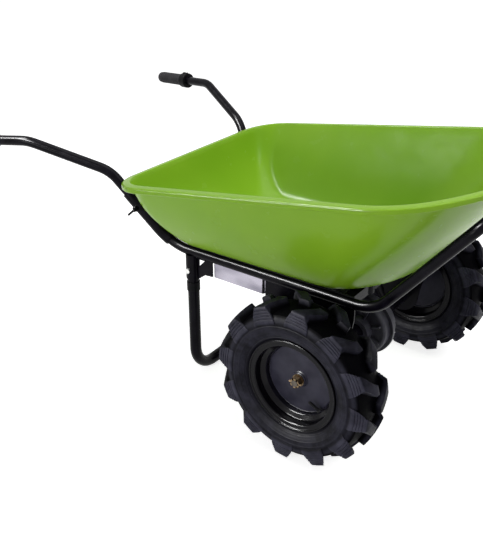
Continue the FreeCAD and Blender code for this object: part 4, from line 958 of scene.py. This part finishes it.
def trayPlan(share, inset):
    # one level outline of the tray: closed list of X and Y
    def at(key):
        return trayForm[key][0] + (trayForm[key][1] - trayForm[key][0]) * share

    swell = math.sin(math.pi * min(1, max(0, share)) ** trayForm["bellyRise"])
    inset -= trayForm["belly"] * swell
    half = at("halfWidth") - inset
    rear = at("rear") + inset - trayForm["rearBelly"] * swell
    rearCorner = at("rearCorner") - inset - trayForm["cornerTighten"] * swell
    frontCorner = at("frontCorner") - inset
    start = at("frontStart")
    turn = math.radians(trayForm["noseTurn"])
    noseStart = (start + frontCorner * math.sin(turn), half - frontCorner * (1 - math.cos(turn)))
    noseRadius = noseStart[1] / math.cos(turn)
    noseMiddle = noseStart[0] - noseRadius * math.sin(turn)
    rearCount, cornerCount, sideCount, bendCount, noseCount = trayForm["counts"]
    points = [(rear, (half - rearCorner) * k / rearCount) for k in range(rearCount)]
    for k in range(cornerCount):
        a = math.pi / 2 * k / cornerCount
        points.append((rear + rearCorner * (1 - math.cos(a)), half - rearCorner * (1 - math.sin(a))))
    for k in range(sideCount):
        points.append((rear + rearCorner + (start - rear - rearCorner) * k / sideCount, half))
    for k in range(bendCount):
        a = turn * k / bendCount
        points.append((start + frontCorner * math.sin(a), half - frontCorner * (1 - math.cos(a))))
    for k in range(noseCount + 1):
        a = turn * (1 - k / noseCount)
        points.append((noseMiddle + noseRadius * math.cos(a), noseRadius * math.sin(a)))
    return points + [(x, -y) for x, y in reversed(points[1:-1])]


def trayRing(share, inset, lift):
    low, high = trayForm["height"]
    height = low + (high - low) * share
    return [(axleX + x / 1000, y / 1000, (height + trayForm["slope"] * share * x + lift) / 1000)
            for x, y in trayPlan(share, inset)]


def trayWall(sheet):
    # rings of one skin from inside the floor up to just below the rim
    lean = math.radians(trayForm["wallAngle"])
    radius = trayForm["floorEdge"] - sheet
    depth = trayForm["height"][1] - trayForm["height"][0]
    flat = radius * math.tan(lean / 2) + sheet
    rings = [trayRing(0, flat + more, sheet) for more in trayForm["floorInsets"]]
    steps = trayForm["edgeSteps"]
    for k in range(steps + 1):
        angle = lean * k / steps
        rise = radius * (1 - math.cos(angle))
        pull = rise / math.tan(lean) + radius * (math.tan(lean / 2) - math.sin(angle))
        rings.append(trayRing(rise / depth, pull + sheet + trayForm["ledge"] * rise / depth, sheet))
    first = radius * (1 - math.cos(lean)) / depth
    steps = trayForm["wallSteps"]
    for k in range(1, steps + 1):
        share = first + (trayForm["wallTop"] - first) * k / steps
        rings.append(trayRing(share, sheet + trayForm["ledge"] * share, sheet))
    return rings


def boltSeats():
    # middles of the four seats, on the floor's underside
    low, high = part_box("tray_bolts")
    edge = seat["headRadius"] / 1000
    z = trayForm["height"][0] / 1000
    return [Vector((x, y, z)) for x in (low.x + edge, high.x - edge) for y in (low.y + edge, high.y - edge)]


def makeSeats(shell):
    # cuts the four holes in the floor and sets a pressed seat in each
    cutters = []
    for spot in boltSeats():
        clearSelection()
        bpy.ops.mesh.primitive_cylinder_add(vertices=seat["turns"], radius=seat["holeRadius"] / 1000,
                                            depth=seat["cutDepth"] / 1000, location=(0, 0, 0))
        cutter = bpy.context.object
        cutter.data.transform(Matrix.Translation(spot))
        cutters.append(cutter)
    cutter = joinAll("seatCutter", cutters)
    cut = shell.modifiers.new("holes", "BOOLEAN")
    cut.operation = "DIFFERENCE"
    cut.solver = "EXACT"
    cut.object = cutter
    applyModifiers(shell)
    bpy.data.objects.remove(cutter)
    outline = toMetres((height, radius) for radius, height in roundedOutline(seat["section"]))
    pressed = lathe("boltSeat", outline, origin, seat["turns"])
    pressed.data.transform(upright)
    pieces = [twinOf(pressed, "boltSeat", Matrix.Translation(spot)) for spot in boltSeats()]
    bpy.data.objects.remove(pressed)
    return joinAll("trayShell", [shell] + pieces)


def layRing(piece, before, after):
    # in edit mode: moves the selected vertices from the places of one ring to those of another
    goal = {tuple(Vector(here)): there for here, there in zip(before, after)}
    made = bmesh.from_edit_mesh(piece.data)
    for vert in made.verts:
        if vert.select:
            vert.co = goal[tuple(vert.co)]
    bmesh.update_edit_mesh(piece.data)


def makeTray():
    # a ring round the floor, filled and extruded again and again: up the outside, over the rolled
    # rim and down the inside
    section = roundedOutline(trayForm["roll"], trayForm["rollSteps"])[1:-1]
    over = [trayRing(1, -outwards, upwards) for outwards, upwards in section]
    rings = trayWall(0) + over + trayWall(trayForm["sheet"])[::-1]
    clearSelection()
    bpy.ops.mesh.primitive_circle_add(vertices=len(rings[0]), radius=planeSize, location=(0, 0, 0))
    shell = bpy.context.object
    shell.name = "trayShell"
    corners = [tuple(vert.co) for vert in shell.data.vertices]
    bpy.ops.object.mode_set(mode="EDIT")
    bpy.ops.mesh.select_all(action="SELECT")
    bpy.ops.mesh.edge_face_add()
    layRing(shell, corners, rings[0])
    for before, after in zip(rings, rings[1:]):
        bpy.ops.mesh.extrude_region_move()
        layRing(shell, before, after)
    finishMesh()
    shell = makeSeats(shell)
    smooth(shell, trayForm["smoothing"])
    fit(shell, "frame", "tray_paint", "tray")


makeTray()
print("tray made")

# places on the frame are in millimetres from the axle's middle, on the ground
sleeve = {
    # flared end of the lower tube, from above its joint down into the bend
    "foot": (-462.0, -200.0, 374.0),
    "bend": (-600.0, -270.0, 567.0),
    "jointShare": 0.62,
    "above": 85.0,
    "bendRadius": 110.0,
    "bendDegrees": 22.0,
    "bendSteps": 6,
    "radius": 15.9,
    "turns": 40,
    "thickness": 3.0,
    "rounding": 0.0009,
    "roundAbove": 50,
    "smoothing": 32,
}
wing = {
    # outline of one wing in its own plane: sideways, outwards
    "outline": ((0, 6.5), (4.5, 6.2), (9.0, 9.0), (13.0, 15.5), (15.6, 21.5), (13.4, 24.0), (10.2, 22.6),
                (7.0, 16.5), (4.2, 12.6), (0, 12.0)),
    "thickness": 5.2,
    "rounding": 0.0011,
    "roundAbove": 40,
    # stem and nut: outwards, radius
    "stem": ((-2.8, 0), (-2.8, 2.72), (1.0, 3.4), (13.0, 3.4), (14.0, 2.38), (14.0, 0)),
    "stemTurns": 20,
    "nut": ((0, 0), (0, 7.4), (5.0, 7.4), (6.5, 6.2), (6.5, 0)),
    "nutTurns": 24,
    "smoothing": 40,
}
strip = {
    # dark rubber strip between tray and rail, standing for the shade in the gap there (painted shade): ends
    # along the barrow, middle, breadth, thickness, tilt
    "ends": (-418.0, 66.0),
    "middle": (-195.6, 387.25),
    "breadth": 10.0,
    "thickness": 2.0,
    "tilt": 18.4,
    "rounding": 0.0006,
    "roundAbove": 40,
    "smoothing": 32,
}


def fromAxle(x, y, z):
    return Vector((axleX + x / 1000, y / 1000, z / 1000))


def handleWay():
    # foot of the steep run, the joint on it, and the way down it
    foot, bend = fromAxle(*sleeve["foot"]), fromAxle(*sleeve["bend"])
    joint = bend + (foot - bend) * sleeve["jointShare"]
    return foot, joint, (foot - bend).normalized()


def bothSides(piece, slotName, node, angle):
    # the piece is the right-hand one; makes the left one as its mirror image
    other = twinOf(piece, piece.name + "Left", mirrorAcross(0), flip=True)
    fitPair(piece, other, ("frame", "frame"), slotName, node, angle)


def makeSleeves():
    foot, joint, down = handleWay()
    ahead = Vector((1, 0, 0))
    turn = down.angle(ahead)
    radius = sleeve["bendRadius"] / 1000
    start = joint - down * sleeve["above"] / 1000
    bendStart = foot - down * radius * math.tan(turn / 2)
    inward = (ahead - down * ahead.dot(down)).normalized()
    clearSelection()
    bpy.ops.mesh.primitive_circle_add(vertices=sleeve["turns"], radius=sleeve["radius"] / 1000,
                                      location=(0, 0, 0))
    piece = bpy.context.object
    piece.name = "handleSleeve"
    piece.data.transform(Matrix.Translation(start) @ down.to_track_quat("Z", "Y").to_matrix().to_4x4())
    bpy.ops.object.mode_set(mode="EDIT")
    bpy.ops.mesh.select_all(action="SELECT")
    bpy.ops.mesh.extrude_region_move(TRANSFORM_OT_translate={"value": bendStart - start})
    bpy.ops.mesh.spin(steps=sleeve["bendSteps"], angle=-math.radians(sleeve["bendDegrees"]),
                      center=bendStart + inward * radius, axis=down.cross(ahead).normalized())
    finishMesh()
    wall = piece.modifiers.new("wall", "SOLIDIFY")
    wall.thickness = sleeve["thickness"] / 1000
    wall.offset = -1
    wall.use_even_offset = True
    applyModifiers(piece)
    bevel(piece, sleeve["rounding"], sleeve["roundAbove"])
    bothSides(piece, "frame_paint", "handle_sleeve", sleeve["smoothing"])


def makeWing(way):
    # one wing, to the side that way gives
    corners = [(way * sideways / 1000, 0, outwards / 1000) for sideways, outwards in wing["outline"]]
    piece = drawOutline("wing", corners, origin)
    bpy.ops.mesh.edge_face_add()
    bpy.ops.mesh.select_all(action="SELECT")
    bpy.ops.transform.translate(value=(0, -wing["thickness"] / 2000, 0))
    bpy.ops.mesh.extrude_region_move(TRANSFORM_OT_translate={"value": (0, wing["thickness"] / 1000, 0)})
    finishMesh()
    bevel(piece, wing["rounding"], wing["roundAbove"])
    return piece


def makeWings():
    joint, down = handleWay()[1:]
    out = Vector((0, -1, 0))
    out = (out - down * out.dot(down)).normalized()
    spot = joint - down * sleeve["above"] / 2000 + out * sleeve["radius"] / 1000
    wings = [makeWing(1), makeWing(-1)]
    stem = lathe("wingStem", toMetres(wing["stem"]), origin, wing["stemTurns"])
    nut = lathe("wingNut", toMetres(wing["nut"]), origin, wing["nutTurns"])
    for piece in (stem, nut):
        piece.data.transform(upright)
    bolt = joinAll("wingBolt", wings + [stem, nut])
    axes = Matrix((down.cross(out), down, out)).transposed().to_4x4()
    bolt.data.transform(Matrix.Translation(spot) @ axes)
    bothSides(bolt, "frame_paint", "wing_bolt", wing["smoothing"])


# painted shade: a dark strip fills the gap between tray and rail, which shows as shade
def makeStrips():
    piece = startPlane("trayStrip")
    start, end = strip["ends"]
    breadth, thickness = strip["breadth"] / 1000, strip["thickness"] / 1000
    bpy.ops.transform.resize(value=((end - start) / 1000 / planeSize, breadth / planeSize, 1))
    bpy.ops.transform.translate(value=(0, 0, -thickness / 2))
    bpy.ops.mesh.extrude_region_move(TRANSFORM_OT_translate={"value": (0, 0, thickness)})
    finishMesh()
    bevel(piece, strip["rounding"], strip["roundAbove"])
    middle = fromAxle((start + end) / 2, *strip["middle"])
    piece.data.transform(Matrix.Translation(middle) @ Matrix.Rotation(math.radians(-strip["tilt"]), 4, "X"))
    bothSides(piece, "valve_rubber", None, strip["smoothing"])


makeSleeves()
makeWings()
makeStrips()
print("sleeves, wing bolts and rubber strips made")

valveForm = {
    # foot of the stem: radius, degrees round the wheel, along the axle from its middle
    "root": (84.5, -46.0, -9.0),
    # stem and cap: along the stem, radius
    "section": ((0, 0), (0, 6.2), (2.0, 5.8), (3.4, 4.3), (20.0, 3.9), (21.5, 3.4), (21.5, 4.1), (32.0, 3.8),
                (33.4, 2.6), (33.4, 0)),
    "lean": 0.35,
    "turns": 24,
}


def makeValves():
    radius, degrees, along = valveForm["root"]
    angle = math.radians(degrees)
    outward = Vector((math.cos(angle), 0, math.sin(angle)))
    root = rightWheel + outward * radius / 1000 + Vector((0, along / 1000, 0))
    way = (Vector((0, -valveForm["lean"], 0)) - outward).normalized()
    stem = lathe("valveStem", toMetres(valveForm["section"]), origin, valveForm["turns"])
    stem.data.transform(Matrix.Translation(root) @ way.to_track_quat("Y", "Z").to_matrix().to_4x4())
    bothWheels(stem, "valve_rubber", "valve")


makeValves()
print("valves made")

rocker = {"flatDegrees": 1, "rounding": 0.0006, "roundAbove": 40, "smoothing": 35}


def makeRocker():
    # the direction rocker with softened edges, in the pod's own plastic
    piece = twinOf(nodes["direction_rocker"], "rockerVisual", Matrix.Identity(4))
    choose(piece)
    bpy.ops.object.mode_set(mode="EDIT")
    bpy.ops.mesh.select_all(action="SELECT")
    bpy.ops.mesh.remove_doubles(threshold=weldGap)
    bpy.ops.mesh.dissolve_limited(angle_limit=math.radians(rocker["flatDegrees"]))
    bpy.ops.object.mode_set(mode="OBJECT")
    bevel(piece, rocker["rounding"], rocker["roundAbove"])
    smooth(piece, rocker["smoothing"])
    fit(piece, "direction_switch", "pod_plastic", "direction_rocker")


makeRocker()
print("rocker made")


def linkPanels():
    # a panel that names finishes lights only the pieces that wear them
    for name, lamp in shines.items():
        if not lamp["lights"]:
            continue
        lit = bpy.data.collections.new(name)
        for thing in bpy.context.scene.objects:
            if any(held.material and held.material.name in lamp["lights"] for held in thing.material_slots):
                lit.objects.link(thing)
        bpy.data.objects[name].light_linking.receiver_collection = lit


linkPanels()
